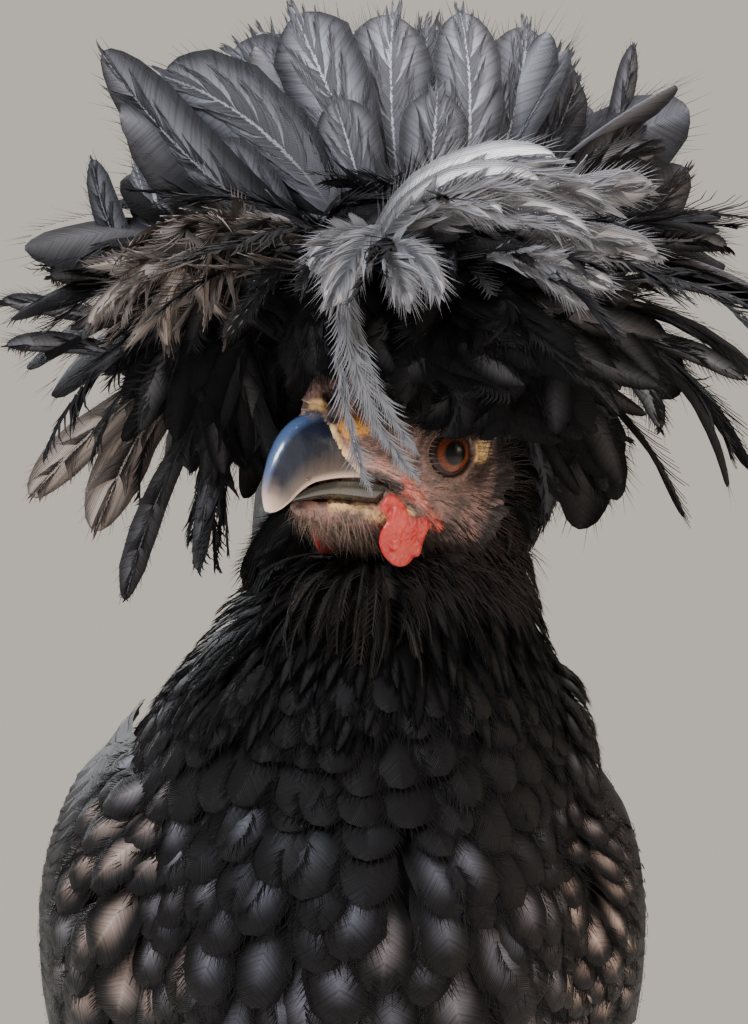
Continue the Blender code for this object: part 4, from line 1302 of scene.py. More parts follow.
def build_flesh():
    """Wattles under the gape, small lobes behind the eyes and the horns of the comb."""
    red = flesh_material("wattle_flesh", (0.40, 0.018, 0.016), (0.50, 0.055, 0.042), (0.20, 0.012, 0.014))
    pale = flesh_material("lobe_flesh", (0.10, 0.06, 0.055), (0.17, 0.11, 0.10), (0.05, 0.03, 0.03))
    for side, name in ((-1, "right"), (1, "left")):
        lobes = [lobe(*row) for row in WATTLE_LOBES]
        lobes = [(points * mirror(side), tris[:, ::side]) for points, tris in lobes]
        finish_flesh(melted_lobes(f"wattle_{name}_flap", lobes), red, "wattle_" + name)
        place, radii, folds = EARLOBE
        points, tris = lobe(place * mirror(side), radii, folds)
        finish_flesh(mesh_object(f"earlobe_{name}_flap", from_head(points), tris), pale, "earlobe_" + name)
    finish_flesh(melted_lobes("comb_horns", [lobe(*row) for row in COMB_LOBES]), red, "comb")


# Studio

VIEW_AZIMUTH = math.radians(-5)
VIEW_RISE = math.radians(2)
VIEW_DISTANCE = 800.0
VIEW_LENS = 137.8
VIEW_RIGHT = np.array([math.cos(VIEW_AZIMUTH), math.sin(VIEW_AZIMUTH), 0])
VIEW_OUT = np.array([
    math.sin(VIEW_AZIMUTH) * math.cos(VIEW_RISE),
    -math.cos(VIEW_AZIMUTH) * math.cos(VIEW_RISE),
    math.sin(VIEW_RISE),
])
VIEW_TARGET = HEAD_PLACE - 6.0 * VIEW_RIGHT - 11.6 * Z
VIEW_FROM = VIEW_TARGET + VIEW_OUT * VIEW_DISTANCE


def build_camera():
    camera = bpy.data.objects.new("camera", bpy.data.cameras.new("camera"))
    bpy.context.scene.collection.objects.link(camera)
    camera.data.lens = VIEW_LENS
    camera.data.clip_start = 0.01
    camera.location = Vector((VIEW_FROM + SHIFT) * MM)
    camera.rotation_euler = Vector(-VIEW_OUT).to_track_quat("-Z", "Y").to_euler()
    bpy.context.scene.camera = camera


def soft_light(name, place, size, watts, colour):
    """A square lamp aimed at the bird's head. The place is in metres."""
    lamp = bpy.data.lights.new(name, "AREA")
    lamp.size = size
    lamp.energy = watts
    lamp.color = colour
    obj = bpy.data.objects.new(name, lamp)
    bpy.context.scene.collection.objects.link(obj)
    obj.location = place
    aim = Vector((HEAD_PLACE + SHIFT) * MM)
    obj.rotation_euler = (aim - obj.location).to_track_quat("-Z", "Y").to_euler()


# Lamps: name, place in metres, size, watts, colour
LAMPS = [
    ("key", (-0.75, -1.05, 1.25), 0.5, 38, (0.86, 0.93, 1.0)),
    ("top", (0.15, -0.15, 1.5), 0.7, 44, (0.97, 0.97, 1.0)),
    ("warm_side", (1.1, -0.35, 0.55), 0.5, 9, (1.0, 0.82, 0.66)),
    ("rim", (-0.6, 1.0, 0.9), 0.5, 14, (0.9, 0.95, 1.0)),
]
FLOOR_RADIUS = 1000.0
FLOOR_DEPTHS = (6, 2)


def build_studio():
    """Soft even surroundings, four square lamps and a plain pale floor."""
    world = bpy.data.worlds.new("studio")
    bpy.context.scene.world = world
    world.use_nodes = True
    background = world.node_tree.nodes["Background"]
    background.inputs["Color"].default_value = (1.0, 0.91, 0.80, 1)
    background.inputs["Strength"].default_value = 0.6
    for lamp in LAMPS:
        soft_light(*lamp)
    size = 3 * [FLOOR_RADIUS]
    rings = [oval(-SHIFT - Z * depth, X, Y, *size, 96) for depth in FLOOR_DEPTHS]
    floor = mesh_object("floor", *loft(np.array(rings)))
    ground = Nodes("floor_paint")
    ground.finish(
        Base_Color=ground.mix(ground.noise(3.0), (0.80, 0.75, 0.68), (0.84, 0.79, 0.72)),
        Roughness=0.7,
        Normal=ground.bump(ground.noise(220.0), 0.0004, 0.3),
    )
    floor.data.materials.append(ground.material)


# Coat

VANE_ROWS = np.array([0, 0.22, 0.42, 0.6, 0.75, 0.87, 0.95, 1.0])


def round_outline(share, widest=0.66, blunt=2.3):
    """Half width of a rounded feather, as a share of its widest."""
    near = np.clip(share / widest, 0, 1)
    far = np.clip((share - widest) / (1 - widest), 0, 1)
    return np.where(share < widest, 0.25 + 0.75 * np.sin(near * math.pi / 2), (1 - far**blunt) ** 0.55) + 0.02


def lance_outline(share):
    """Half width of a narrow pointed feather."""
    return 0.02 + np.minimum(1, share * 3 + 0.35) * (1 - share**2.2) ** 0.8


def scattered(points, tris, keep, spacing, densest):
    """Seeded places on a surface with their normals, no closer together than the spacing there."""
    corners = points[tris]
    cross = np.cross(corners[:, 1] - corners[:, 0], corners[:, 2] - corners[:, 0])
    area = np.linalg.norm(cross, axis=1)
    wanted = keep(corners.mean(1))
    area = area * wanted
    count = int(area.sum() / 2 / densest**2 * 5)
    pick = RNG.choice(len(tris), count, p=area / area.sum())
    a, b = RNG.random((2, count, 1))
    flip = a + b > 1
    a, b = np.where(flip, 1 - a, a), np.where(flip, 1 - b, b)
    corner = corners[pick]
    spots = corner[:, 0] + a * (corner[:, 1] - corner[:, 0]) + b * (corner[:, 2] - corner[:, 0])
    gaps = spacing(spots)
    cell = float(gaps.max())
    keys = np.floor(spots / cell).astype(int)
    grid, chosen = {}, []
    around = [(i, j, k) for i in (-1, 0, 1) for j in (-1, 0, 1) for k in (-1, 0, 1)]
    spot_list, gap_list, key_list = spots.tolist(), gaps.tolist(), keys.tolist()
    for index, (spot, gap, key) in enumerate(zip(spot_list, gap_list, key_list)):
        near = gap * gap
        free = True
        for i, j, k in around:
            for other in grid.get((key[0] + i, key[1] + j, key[2] + k), ()):
                dx, dy, dz = spot[0] - other[0], spot[1] - other[1], spot[2] - other[2]
                if dx * dx + dy * dy + dz * dz < near:
                    free = False
                    break
            if not free:
                break
        if free:
            grid.setdefault(tuple(key), []).append(spot)
            chosen.append(index)
    normals = unit(cross[pick[chosen]])
    return spots[chosen], normals


def lie(points):
    """The way the feathers lie over the bird, before they are laid along the skin."""
    x, y, z = points.T
    neck = smoothstep(222, 262, z) * smoothstep(25, -20, y)
    front = smoothstep(-25, -80, y)
    way = np.stack([0.25 * np.sign(x) * neck, np.ones(len(x)), -(0.42 + 1.3 * front + 2.6 * neck)], axis=1)
    leg = (smoothstep(160, 130, z) * smoothstep(8, 20, np.abs(x)))[:, None]
    way = unit(way) * (1 - leg) + np.array([0, 0.2, -1.0]) * leg
    local = to_head(points)
    head = (smoothstep(288, 296, z) * (np.linalg.norm(points - HEAD_PLACE, axis=1) < 50))[:, None]
    cheek = np.stack([0.35 * np.sign(local[:, 0]), np.ones(len(x)), -0.75 + 0 * x], axis=1) @ HEAD.T
    return unit(way * (1 - head) + cheek * head)


# How much the feathers' directions differ, in radians
LIE_SPREAD = 0.12


def laid(tree, roots, normals, length, shares):
    """Spines that run along the surface from each root with the lie of the coat, and their normals."""
    count = len(roots)
    turn = RNG.normal(0, LIE_SPREAD, count)
    place, facing = roots.copy(), normals.copy()
    spine, faces = [place.copy()], [facing.copy()]
    for near, far in zip(shares, shares[1:]):
        way = lie(place)
        way = unit(way - dot(way, facing)[:, None] * facing)
        side = np.cross(facing, way)
        way = way * np.cos(turn)[:, None] + side * np.sin(turn)[:, None]
        place = place + way * (length * (far - near))[:, None]
        for i in range(count):
            found, normal, _, _ = tree.find_nearest(place[i])
            place[i] = found
            facing[i] = normal
        facing = unit(0.5 * facing + 0.5 * faces[-1])
        spine.append(place.copy())
        faces.append(facing.copy())
    return np.stack(spine, axis=1), np.stack(faces, axis=1)


def pick_rows(values, rows, at):
    """Values of each spine at fractions of its rows."""
    place = np.interp(at, rows, np.arange(len(rows)))
    low = np.minimum(place.astype(int), len(rows) - 2)
    share = (place - low)[None, :, None]
    return values[:, low] * (1 - share) + values[:, low + 1] * share


def add_fringe(coat, spine, side, normal, half, rows, tone, count, length, start, width=0.1):
    """Free barb ends along both edges of each feather and round its tip, from the start's share of it."""
    at = start + (0.995 - start) * (np.arange(count) + 0.5) / count
    n = len(spine)
    at = np.clip(at + RNG.uniform(-0.4, 0.4, count) * (0.99 - start) / count, 0, 0.995)
    place, across, face = (pick_rows(values, rows, at) for values in (spine, side, normal))
    ahead = unit(np.cross(face, across))
    reach = pick_rows(half[..., None], rows, at)
    home = np.repeat(spine[:, 0], count, axis=0)
    for edge in (-1, 1):
        slant = np.radians(between(at, [(0, 48), (0.7, 42), (0.92, 26), (1, 8)]))[None, :, None]
        slant = slant + RNG.normal(0, 0.09, (n, count, 1))
        way = ahead * np.cos(slant) + edge * across * np.sin(slant)
        root = place + edge * across * reach * 0.86 - face * 0.05
        size = length[:, None, None] * RNG.uniform(0.55, 1.25, (n, count, 1))
        bend = RNG.normal(0, 0.12, (n, count, 1))
        tip = root + size * unit(way + edge * across * -0.15 + face * bend)
        thick = np.full(n * count, width) * RNG.uniform(0.8, 1.2, n * count)
        phase = RNG.random(n * count)
        add_spikes(
            coat, listed(root), None, listed(tip), listed(face), thick, np.tile(at, n),
            np.full(n * count, 0.9), np.repeat(tone, count), home, phase,
        )


PLUME_BUNCHES = 7


PLUME_START = 0.06
PLUME_CURL = 0.5


def add_plume(coat, spine, normal, rows, tone, count, length, width):
    """A loose feather: a thin shaft with long free barbs that bunch together and bend forward."""
    n = len(spine)
    half = np.repeat((0.45 * (1 - 0.8 * rows))[None], n, axis=0)
    side, face, _ = add_vanes(coat, spine, normal, half, 3, 0.0, 0.3, tone, shaft=0.25)
    at = PLUME_START + (0.99 - PLUME_START) * (np.arange(count) + 0.5) / count
    place, across, facing = (pick_rows(values, rows, at) for values in (spine, side, face))
    ahead = unit(np.cross(facing, across))
    home = np.repeat(spine[:, 0], count, axis=0)
    bunches = max(1, count // PLUME_BUNCHES)
    in_bunch = math.ceil(count / bunches)
    for edge in (-1, 1):
        group = np.repeat(RNG.normal(0, 1, (n, bunches, 1)), in_bunch, axis=1)[:, :count]
        within = (np.arange(count) % in_bunch)[None, :, None] / in_bunch - 0.5
        slant = np.radians(between(at, [(0, 34), (0.6, 24), (0.9, 12), (1, 4)]))[None, :, None]
        slant = slant + group * 0.24 + within * 0.3
        way = ahead * np.cos(slant) + edge * across * np.sin(slant)
        size = length[:, None, None] * between(at, [(0, 0.6), (0.35, 1), (0.8, 0.8), (1, 0.3)])[None, :, None]
        size = size * (1 + 0.18 * group) * RNG.uniform(0.85, 1.12, (n, count, 1))
        middle = place + size * 0.5 * way
        later = unit(way * (1 - PLUME_CURL * 0.4) + ahead * PLUME_CURL * 0.5 + facing * group * 0.22)
        tip = middle + size * 0.5 * later
        thick = np.full(n * count, width) * RNG.uniform(0.7, 1.3, n * count)
        add_spikes(
            coat, listed(place), listed(middle), listed(tip), listed(facing), thick, np.tile(at, n),
            np.full(n * count, 0.2), np.repeat(tone, count), home, RNG.random(n * count),
        )


def add_contour(coat, tree, roots, normals, length, width, depth, tone, columns, fringe, outline):
    """Contour feathers over the skin. depth is how far their tips stand off it, fringe counts their free
    barbs on each side."""
    spine, facing = laid(tree, roots, normals, length, VANE_ROWS)
    rise = 0.12 + 0.88 * np.sin(VANE_ROWS * math.pi / 2)[None]
    stand = depth[:, None] * rise - 1.2 * (1 - VANE_ROWS)[None]
    spine = spine + facing * stand[..., None]
    uneven = RNG.uniform(0.93, 1.07, (len(roots), len(VANE_ROWS)))
    half = width[:, None] / 2 * outline(VANE_ROWS)[None] * uneven
    side, face, _ = add_vanes(coat, spine, facing, half, columns, 0.16, 0.22, tone, shaft=0.16)
    add_fringe(coat, spine, side, face, half, VANE_ROWS, tone, fringe, 0.2 * width + 1.6, 0.55, 0.18)


def on_wing(points):
    """1 over the folded wing."""
    x, y, z = points.T
    (middle,) = read_columns(TORSO, y, 1)
    angle = np.degrees(np.arctan2(z - middle, np.abs(x)))
    low, high = read_columns(WING, y, 1, 2)
    inside = smoothstep(low - 4, low + 2, angle) * smoothstep(high + 4, high - 2, angle)
    return inside * (y > -46) * (y < 88) * (z < 262)


# Body feathers: pale paints a brownish sheen and the colour for low tones a bluish one, both on black
# feathers.
PLUMAGE_LOOK = {
    "dark": (0.001, 0.001, 0.0011),
    "middle": (0.0065, 0.0058, 0.0064),
    "pale": (0.60, 0.45, 0.39),
    "cool_sheen": (0.44, 0.44, 0.54),
    "gloss": 0.16,
    "edge": -0.25,
    "tip": 0.0,
    "shaft": 0.1,
    "lines": 0.12,
    "rim": 0.74,
}
NECK_LOOK = {
    "dark": (0.0008, 0.0008, 0.0009),
    "middle": (0.0016, 0.0015, 0.0018),
    "pale": (0.10, 0.09, 0.09),
    "gloss": 0.12,
    "lines": 0.12,
}
# Distance between feathers for each height
NECK_GAPS = [(262, 3.5), (276, 2.8), (290, 2.1)]
BODY_GAPS = [(140, 6.0), (190, 6.9), (222, 6.5), (246, 5.2), (266, 3.8)]
NECK_DENSEST = 2.2
BODY_DENSEST = 4.6
NECK_LOW = 262
NECK_HIGH = 322
BODY_HIGH = 266


def neck_kept(spots):
    """1 where the neck's pointed feathers grow."""
    local = to_head(spots)
    bare = (-local[:, 1] > -9) & (spots[:, 2] > 287)
    return (spots[:, 2] > NECK_LOW) * ~bare * (spots[:, 2] < NECK_HIGH) * (local[:, 2] < 14)


def body_kept(spots):
    """1 where the body's feathers grow, down to the hocks and round the wings."""
    low = np.where(np.abs(spots[:, 0]) > 8, 97, 110)
    return (spots[:, 2] > low) * (spots[:, 2] <= BODY_HIGH) * (on_wing(spots) < 0.5)


def neck_gap(spots):
    return between(spots[:, 2], NECK_GAPS)


def body_gap(spots):
    gap = between(spots[:, 2], BODY_GAPS)
    left_small = smoothstep(20, 45, spots[:, 0]) * smoothstep(10, -40, spots[:, 1])
    legs = smoothstep(140, 110, spots[:, 2])
    return gap * (1 - 0.35 * left_small) * (1 - 0.45 * legs)


def neck_feathers(points, tris, tree):
    """Narrow pointed feathers, with a fuller ruff on her right side."""
    coat = Coat("neck_feathers")
    roots, normals = scattered(points, tris, neck_kept, neck_gap, NECK_DENSEST)
    gap = neck_gap(roots) * RNG.uniform(0.9, 1.15, len(roots))
    tone = np.clip(RNG.normal(0.03, 0.05, len(roots)), 0, 1)
    ruff = smoothstep(-4, -16, roots[:, 0]) * smoothstep(270, 290, roots[:, 2])
    depth = gap * 0.8 + 1.0 + 5.0 * ruff
    add_contour(coat, tree, roots, normals, gap * 5.0, gap * 1.2, depth, tone, 3, 12, lance_outline)
    coat.build(feather_material("neck_feather", **NECK_LOOK), "plumage")


def body_sheen(roots):
    """How pale the streak of each body feather is, which paints sheen on black feathers: most at both sides
    of the breast.
    """
    x, y, z = roots.T
    tone = 0.24 + 0.36 * smoothstep(-14, -60, x) + 0.5 * smoothstep(22, 50, x)
    tone = tone - 0.42 * smoothstep(222, 252, z)
    # Painted highlight high on her right side, which faces the key lamp.
    tone = tone + 0.45 * smoothstep(-22, -45, x) * smoothstep(215, 240, z)
    breast = smoothstep(-20, -60, y) * smoothstep(130, 165, z)
    return np.clip((tone + RNG.normal(0, 0.08, len(roots))) * (0.12 + 0.88 * breast), 0.0, 1)


def body_feathers(points, tris, tree):
    """Rounded feathers over breast and back, and long soft ones over belly and thighs."""
    coat = Coat("body_feathers")
    roots, normals = scattered(points, tris, body_kept, body_gap, BODY_DENSEST)
    gap = body_gap(roots) * RNG.uniform(0.92, 1.12, len(roots))
    tone = body_sheen(roots)
    x, y, z = roots.T
    shoulder = (np.abs(x) > 38) * smoothstep(-68, -56, y) * smoothstep(-36, -44, y) * (z > 185)
    depth = gap * 0.5 + 1.6 + 2.6 * shoulder
    soft = (z < 158) & (y > -58)
    for picked, longer, wider, lifted, columns, outline in (
        (~soft, 3.5, 2.05, 1.0, 5, round_outline),
        (soft, 4.2, 1.7, 1.3, 3, lance_outline),
    ):
        size = gap[picked]
        add_contour(
            coat, tree, roots[picked], normals[picked], size * longer, size * wider, depth[picked] * lifted,
            tone[picked], columns, 20, outline,
        )
    coat.build(feather_material("plumage_feather", **PLUMAGE_LOOK), "plumage")


def build_body_coat(skin):
    """Neck, breast, back, belly and thighs."""
    points, _, tris = arrays_of(skin)
    tree = BVHTree.FromPolygons(points.tolist(), tris.tolist())
    neck_feathers(points, tris, tree)
    body_feathers(points, tris, tree)


# Wings and tail

WING_TIERS = [
    # count, y of the roots, length, width, lift, top angle, bottom angle, backward step
    (9, 62, 74, 13, 0.6, 20, -10, 2.2),
    (15, 2, 88, 14, 1.0, 40, -18, 1.0),
    (14, -18, 52, 14, 2.0, 38, -16, 0.8),
    (13, -34, 38, 13, 2.7, 35, -15, 0.6),
    (12, -46, 28, 12, 3.2, 31, -12, 0.4),
]
FLIGHT_ROWS = np.array([0, 0.1, 0.2, 0.3, 0.4, 0.5, 0.6, 0.7, 0.79, 0.87, 0.93, 0.97, 0.992, 1.0])


WING_SHINGLE = 0.85
WING_REACH = 60
LONG_FEATHER = 60
FLIGHT_LOOK = {
    "dark": (0.0018, 0.0018, 0.0021),
    "middle": (0.0035, 0.0035, 0.0043),
    "pale": (0.024, 0.0235, 0.028),
    "spacing": 0.6,
}


def flight_outline(share):
    return np.minimum(1, 0.55 + share * 1.2) * np.clip(1 - share**5, 0, 1) ** 0.6 + 0.02


def wing_feathers(side):
    """Coverts over secondaries over primaries, each tier shingled from the lower edge up."""
    name = "left" if side > 0 else "right"
    coat = Coat("wing_feathers_" + name)
    for count, y, length, width, lift, top, bottom, step in WING_TIERS:
        share = np.linspace(0, 1, count)
        angle = np.radians(top + (bottom - top) * share)
        slope = np.radians(-10 + 18 * share) + RNG.normal(0, 0.012, count)
        start = y + step * np.arange(count) + RNG.normal(0, 1.0, count)
        reach = length * RNG.uniform(0.94, 1.05, count)
        rows = FLIGHT_ROWS[None]
        place = start[:, None] + reach[:, None] * rows
        here = angle[:, None] + slope[:, None] * rows
        swell = wing_swell(place, here)
        out = swell - 1.4 * (1 - 1.6 * rows) + lift * np.minimum(1, 2 * rows) + 0.35 * np.sin(rows * math.pi)
        centre = torso_point(place, here, out)
        lower = torso_point(place, here - width / 2 / WING_REACH, out + WING_SHINGLE)
        upper = torso_point(place, here + width / 2 / WING_REACH, out - 0.3)
        ahead = np.gradient(centre, axis=1)
        normal = unit(np.cross(unit(ahead), unit(upper - lower)))
        normal = normal * np.sign(dot(normal, centre * X))[..., None]
        half = width / 2 * flight_outline(rows) * RNG.uniform(0.95, 1.05, (count, len(FLIGHT_ROWS)))
        typical, fringe = (0.35, 34) if length > LONG_FEATHER else (0.5, 22)
        tone = np.clip(RNG.normal(typical, 0.12, count), 0, 1)
        spine, normal = centre * mirror(side), normal * mirror(side)
        across, face, _ = add_vanes(coat, spine, normal, half, 7, 0.10, 0.3, tone, shaft=0.3)
        add_fringe(coat, spine, across, face, half, FLIGHT_ROWS, tone, fringe, np.full(count, 1.6), 0.3)
    coat.build(feather_material(coat.name, **FLIGHT_LOOK), "plumage", "wing_" + name)


TAIL_ROOT = np.array([0, 116, 232.0])
TAIL_TENT = math.radians(24)
TAIL_SPLAY = 0.03
TAIL_BEND = math.radians(4)
TAIL_DROOP = 0.05
TAIL_STEP = 5.2
TAIL_HALF_GAP = 1.5
TAIL_LOOK = {
    "dark": (0.002, 0.002, 0.0023),
    "middle": (0.004, 0.004, 0.005),
    "pale": (0.028, 0.027, 0.031),
    "spacing": 0.6,
}
TAIL_TIERS = [
    # count, first and last rise, length, width, distance from the middle, backward shift of the root
    (8, 50, 4, 140, 27, 1.5, 0),
    (7, 46, 4, 112, 22, 5.0, -2),
    (7, 42, -4, 84, 19, 7.5, -6),
    (7, 38, -10, 62, 17, 9.5, -12),
    (6, 34, -12, 46, 15, 11, -20),
]


def tail_feathers():
    """Two fans that meet along the top like a tent, with coverts in tiers over their roots."""
    coat = Coat("tail_feathers")
    rows = FLIGHT_ROWS
    for side in (-1, 1):
        outward = np.array([side * math.cos(TAIL_TENT), 0, math.sin(TAIL_TENT)])
        for count, first, last, length, width, out, back in TAIL_TIERS:
            share = np.linspace(0, 1, count)
            rise = np.radians(first + (last - first) * share)
            splay = side * (0.02 + TAIL_SPLAY * share)
            along = unit(np.stack([splay, np.cos(rise), np.sin(rise)], axis=1))
            face = unit(outward - dot(along, outward)[:, None] * along)
            step = TAIL_STEP / count * np.arange(count)
            start = TAIL_ROOT + outward * (out + step * 1.1)[:, None] - Z * (step * 2.9)[:, None]
            start = start + Y * back + X * side * TAIL_HALF_GAP
            reach = length * (1 - 0.2 * share) * RNG.uniform(0.97, 1.03, count)
            turn = TAIL_BEND * rows[None, :, None]
            run = np.sin(turn) / TAIL_BEND * reach[:, None, None]
            drop = (1 - np.cos(turn)) / TAIL_BEND * reach[:, None, None]
            droop = -Z * (rows**2)[None, :, None] * reach[:, None, None] * TAIL_DROOP
            spine = start[:, None] + along[:, None] * run - face[:, None] * drop + droop
            normal = np.repeat(face[:, None], len(rows), axis=1)
            half = width / 2 * flight_outline(rows)[None] * RNG.uniform(0.95, 1.05, (count, len(rows)))
            tone = np.clip(RNG.normal(0.3, 0.12, count), 0, 1)
            across, faces, _ = add_vanes(coat, spine, normal, half, 7, 0.10, 0.35, tone, shaft=0.35)
            add_fringe(coat, spine, across, faces, half, rows, tone, 60, np.full(count, 2.4), 0.3)
    coat.build(feather_material(coat.name, **TAIL_LOOK), "plumage", "tail")


# Crest

CREST_SHAPE = np.array([
    # rise of the root, length, width, droop
    (-24, 33, 12, 70),
    (-2, 33, 17, 88),
    (12, 42, 19, 80),
    (26, 48, 21, 62),
    (42, 52, 22, 40),
    (58, 52, 23, 14),
    (80, 47, 22, 7),
], float)
CREST_ROWS = np.array([0, 0.14, 0.28, 0.42, 0.55, 0.67, 0.77, 0.85, 0.91, 0.96, 0.99, 1.0])
# Rise and number of feathers of each ring, from the top down
CREST_RINGS = [
    (80, 6), (72, 12), (62, 18), (50, 22), (38, 26),
    (26, 28), (14, 28), (2, 26), (-12, 20), (-24, 16),
]
CREST_HIGH = 45
ROOT_DEPTH = 6
LOCK_STEPS = np.array([0, 0.35, 0.7, 1.0])
LOCK_TAPER = np.array([1.0, 0.9, 0.55, 0.06])


def crest_stretch(azimuth, rise):
    """How much longer a feather is than others at its rise. The brow's feathers are short."""
    left, right = np.maximum(0, -np.sin(azimuth)), np.maximum(0, np.sin(azimuth))
    front = np.maximum(0, np.cos(azimuth))
    wider = 0.5 * left**2 + 0.3 * right**2 + 0.22 * (1 - front)
    return 1 + smoothstep(40, 10, rise) * wider - 0.62 * front**2 * np.maximum(0, 40 - rise) / 40


def ball_axes(azimuth, rise):
    """Directions out of a ball and the faces square to them, in radians. Azimuth 0 is to the front."""
    out = np.stack([np.sin(azimuth), -np.cos(azimuth), 0 * azimuth], axis=1)
    along = out * np.cos(rise)[:, None] + Z * np.sin(rise)[:, None]
    return along, Z * np.cos(rise)[:, None] - out * np.sin(rise)[:, None]


def crest_spines(azimuth, rise, length, droop, sweep):
    """Spines and faces of feathers on the crest's core. Azimuth 0 faces the viewer, rise is in radians."""
    along, face = ball_axes(azimuth, rise)
    reach = 1 / np.linalg.norm(along / CREST_CORE, axis=1)
    root = Z * CREST_LIFT + along * (reach - ROOT_DEPTH)[:, None]
    droop = np.where(np.abs(droop) < 0.02, 0.02, droop)[:, None]
    turn = droop * CREST_ROWS[None]
    run = (length[:, None] * np.sin(turn) / droop)[..., None]
    drop = (length[:, None] * (1 - np.cos(turn)) / droop)[..., None]
    side = np.cross(along, face)[:, None]
    aside = (length * sweep)[:, None, None] * (CREST_ROWS**2)[None, :, None]
    spine = root[:, None] + along[:, None] * run - face[:, None] * drop + side * aside
    facing = face[:, None] * np.cos(turn)[..., None] + along[:, None] * np.sin(turn)[..., None]
    front = (np.cos(azimuth) > -0.5)[:, None, None]
    turned_out = RNG.normal(0, 0.28, (len(along), 1, 3)) + 0.4 * VIEW_OUT * front
    return from_crest(spine), unit(facing @ CREST.T + turned_out)


def crest_kept(azimuth, rise):
    """False where placed feathers grow instead: below the face, at the brow and in the fan."""
    off = np.abs(azimuth)
    low = (off < 115) & (rise < -6)
    brow = (off < 72) & (rise < 18)
    fan = (off < 78) & (rise > 40)
    return ~(low | brow | fan)


def crest_globe():
    """Broad feathers all over the crest, in even rings with the order of growth broken by chance."""
    rows = []
    for rise, count in CREST_RINGS:
        spin = RNG.uniform(0, 360)
        for i in range(count):
            rows.append((spin + 360 * i / count + RNG.uniform(-6, 6), rise + RNG.uniform(-6, 6)))
    azimuth, rise = np.array(rows).T
    azimuth = (azimuth + 180) % 360 - 180
    kept = crest_kept(azimuth, rise)
    azimuth, rise = np.radians(azimuth[kept]), rise[kept]
    length, width, droop = read_columns(CREST_SHAPE, rise, 1, 2, 3)
    length = length * crest_stretch(azimuth, rise) * RNG.uniform(0.86, 1.08, len(rise))
    width = width * RNG.uniform(0.85, 1.1, len(rise))
    return azimuth, rise, length, width, droop + RNG.normal(0, 8, len(rise))


def per_lock(locks, count, spread):
    """Random numbers that the barbs of a lock share. locks says which of the count locks a barb is in."""
    return np.take_along_axis(RNG.normal(0, spread, (len(locks), count)), locks, axis=1)


def add_tatter(
    coat, spine, normal, tone, count, reach, slant, width=0.3, bunch=9, loose=1.0,
):
    """A torn feather: a shaft whose barbs cling together in pointed locks of uneven length. reach is the
    length of the barbs on either side, slant their angle at root and tip, bunch the barbs in a lock, and
    loose how far the locks stray."""
    n = len(spine)
    half = np.repeat((0.3 * (1 - 0.75 * CREST_ROWS))[None], n, axis=0)
    side, face, _ = add_vanes(coat, spine, normal, half, 3, 0.0, 0.25, tone, shaft=0.2)
    at = 0.03 + 0.96 * (np.arange(count) + 0.5) / count
    place, across, facing = (pick_rows(values, CREST_ROWS, at) for values in (spine, side, face))
    ahead = unit(np.cross(facing, across))
    home = np.repeat(spine[:, 0], count, axis=0)
    full = between(at, [(0, 0.6), (0.3, 1), (0.75, 0.85), (1, 0.3)])
    long = np.linalg.norm(spine[:, -1] - spine[:, 0], axis=1)[:, None]
    locks = math.ceil(count / bunch) + 1
    for edge, length in zip((-1, 1), reach):
        group = (np.arange(count)[None] + RNG.integers(0, bunch, (n, 1))) / bunch
        within = group % 1 - 0.5
        group = group.astype(int)
        gather = length[:, None] ** -1 * 0.5 * bunch * long / count
        lean = np.radians(slant[0] + (slant[1] - slant[0]) * at)[None] + loose * per_lock(group, locks, 0.12)
        lean = lean + within * gather * RNG.uniform(0.6, 1.6, (n, 1))
        uneven = 1 + loose * per_lock(group, locks, 0.22) - 0.3 * within**2
        size = length[:, None] * full * uneven * RNG.uniform(0.86, 1.1, (n, count))
        bend = 0.3 + loose * per_lock(group, locks, 0.22)
        lift = loose * per_lock(group, locks, 0.2) + RNG.normal(0, 0.03, (n, count))
        strand = [place]
        for near, far in zip(LOCK_STEPS, LOCK_STEPS[1:]):
            turn = (lean - bend * (near + far))[..., None]
            way = ahead * np.cos(turn) + edge * across * np.sin(turn) + facing * (lift * far)[..., None]
            strand.append(strand[-1] + way * (size * (far - near))[..., None])
        strand = np.stack(strand, axis=2).reshape(n * count, len(LOCK_STEPS), 3)
        tilt = RNG.normal(0, 0.2, (n, count, 1))
        up = np.repeat((facing + across * tilt).reshape(-1, 1, 3), len(LOCK_STEPS), axis=1)
        wide = width * RNG.uniform(0.7, 1.2, (n * count, 1)) * LOCK_TAPER[None]
        shade = np.clip(np.repeat(tone, count) + RNG.normal(0, 0.1, n * count), 0, 1)
        add_vanes(coat, strand, up, wide, 2, 0.0, 0.12, shade, shaft=0.0, home=home)


VIEW_UP = np.cross(VIEW_OUT, VIEW_RIGHT)


def seen(places):
    """Places given from the viewer's side: right of and above the view's middle, and towards the viewer."""
    places = np.asarray(places, float)
    flat = VIEW_TARGET + places[..., :1] * VIEW_RIGHT + places[..., 1:2] * VIEW_UP
    return flat + unit(VIEW_FROM - flat) * places[..., 2:]


def arched(roots, bends, tips):
    """Curves from root to tip that are pulled towards the bend."""
    share = CREST_ROWS[None, :, None]
    roots, bends, tips = (seen(places)[:, None] for places in (roots, bends, tips))
    return roots * (1 - share) ** 2 + bends * 2 * share * (1 - share) + tips * share**2


def facing_viewer(spine, roll):
    """Face directions turned to the viewer, then rolled round the feather's own length, in degrees."""
    ahead = unit(np.gradient(spine, axis=1))
    face = unit(VIEW_OUT - dot(ahead, VIEW_OUT)[..., None] * ahead)
    roll = np.radians(roll)[:, None, None]
    return face * np.cos(roll) + np.cross(ahead, face) * np.sin(roll)
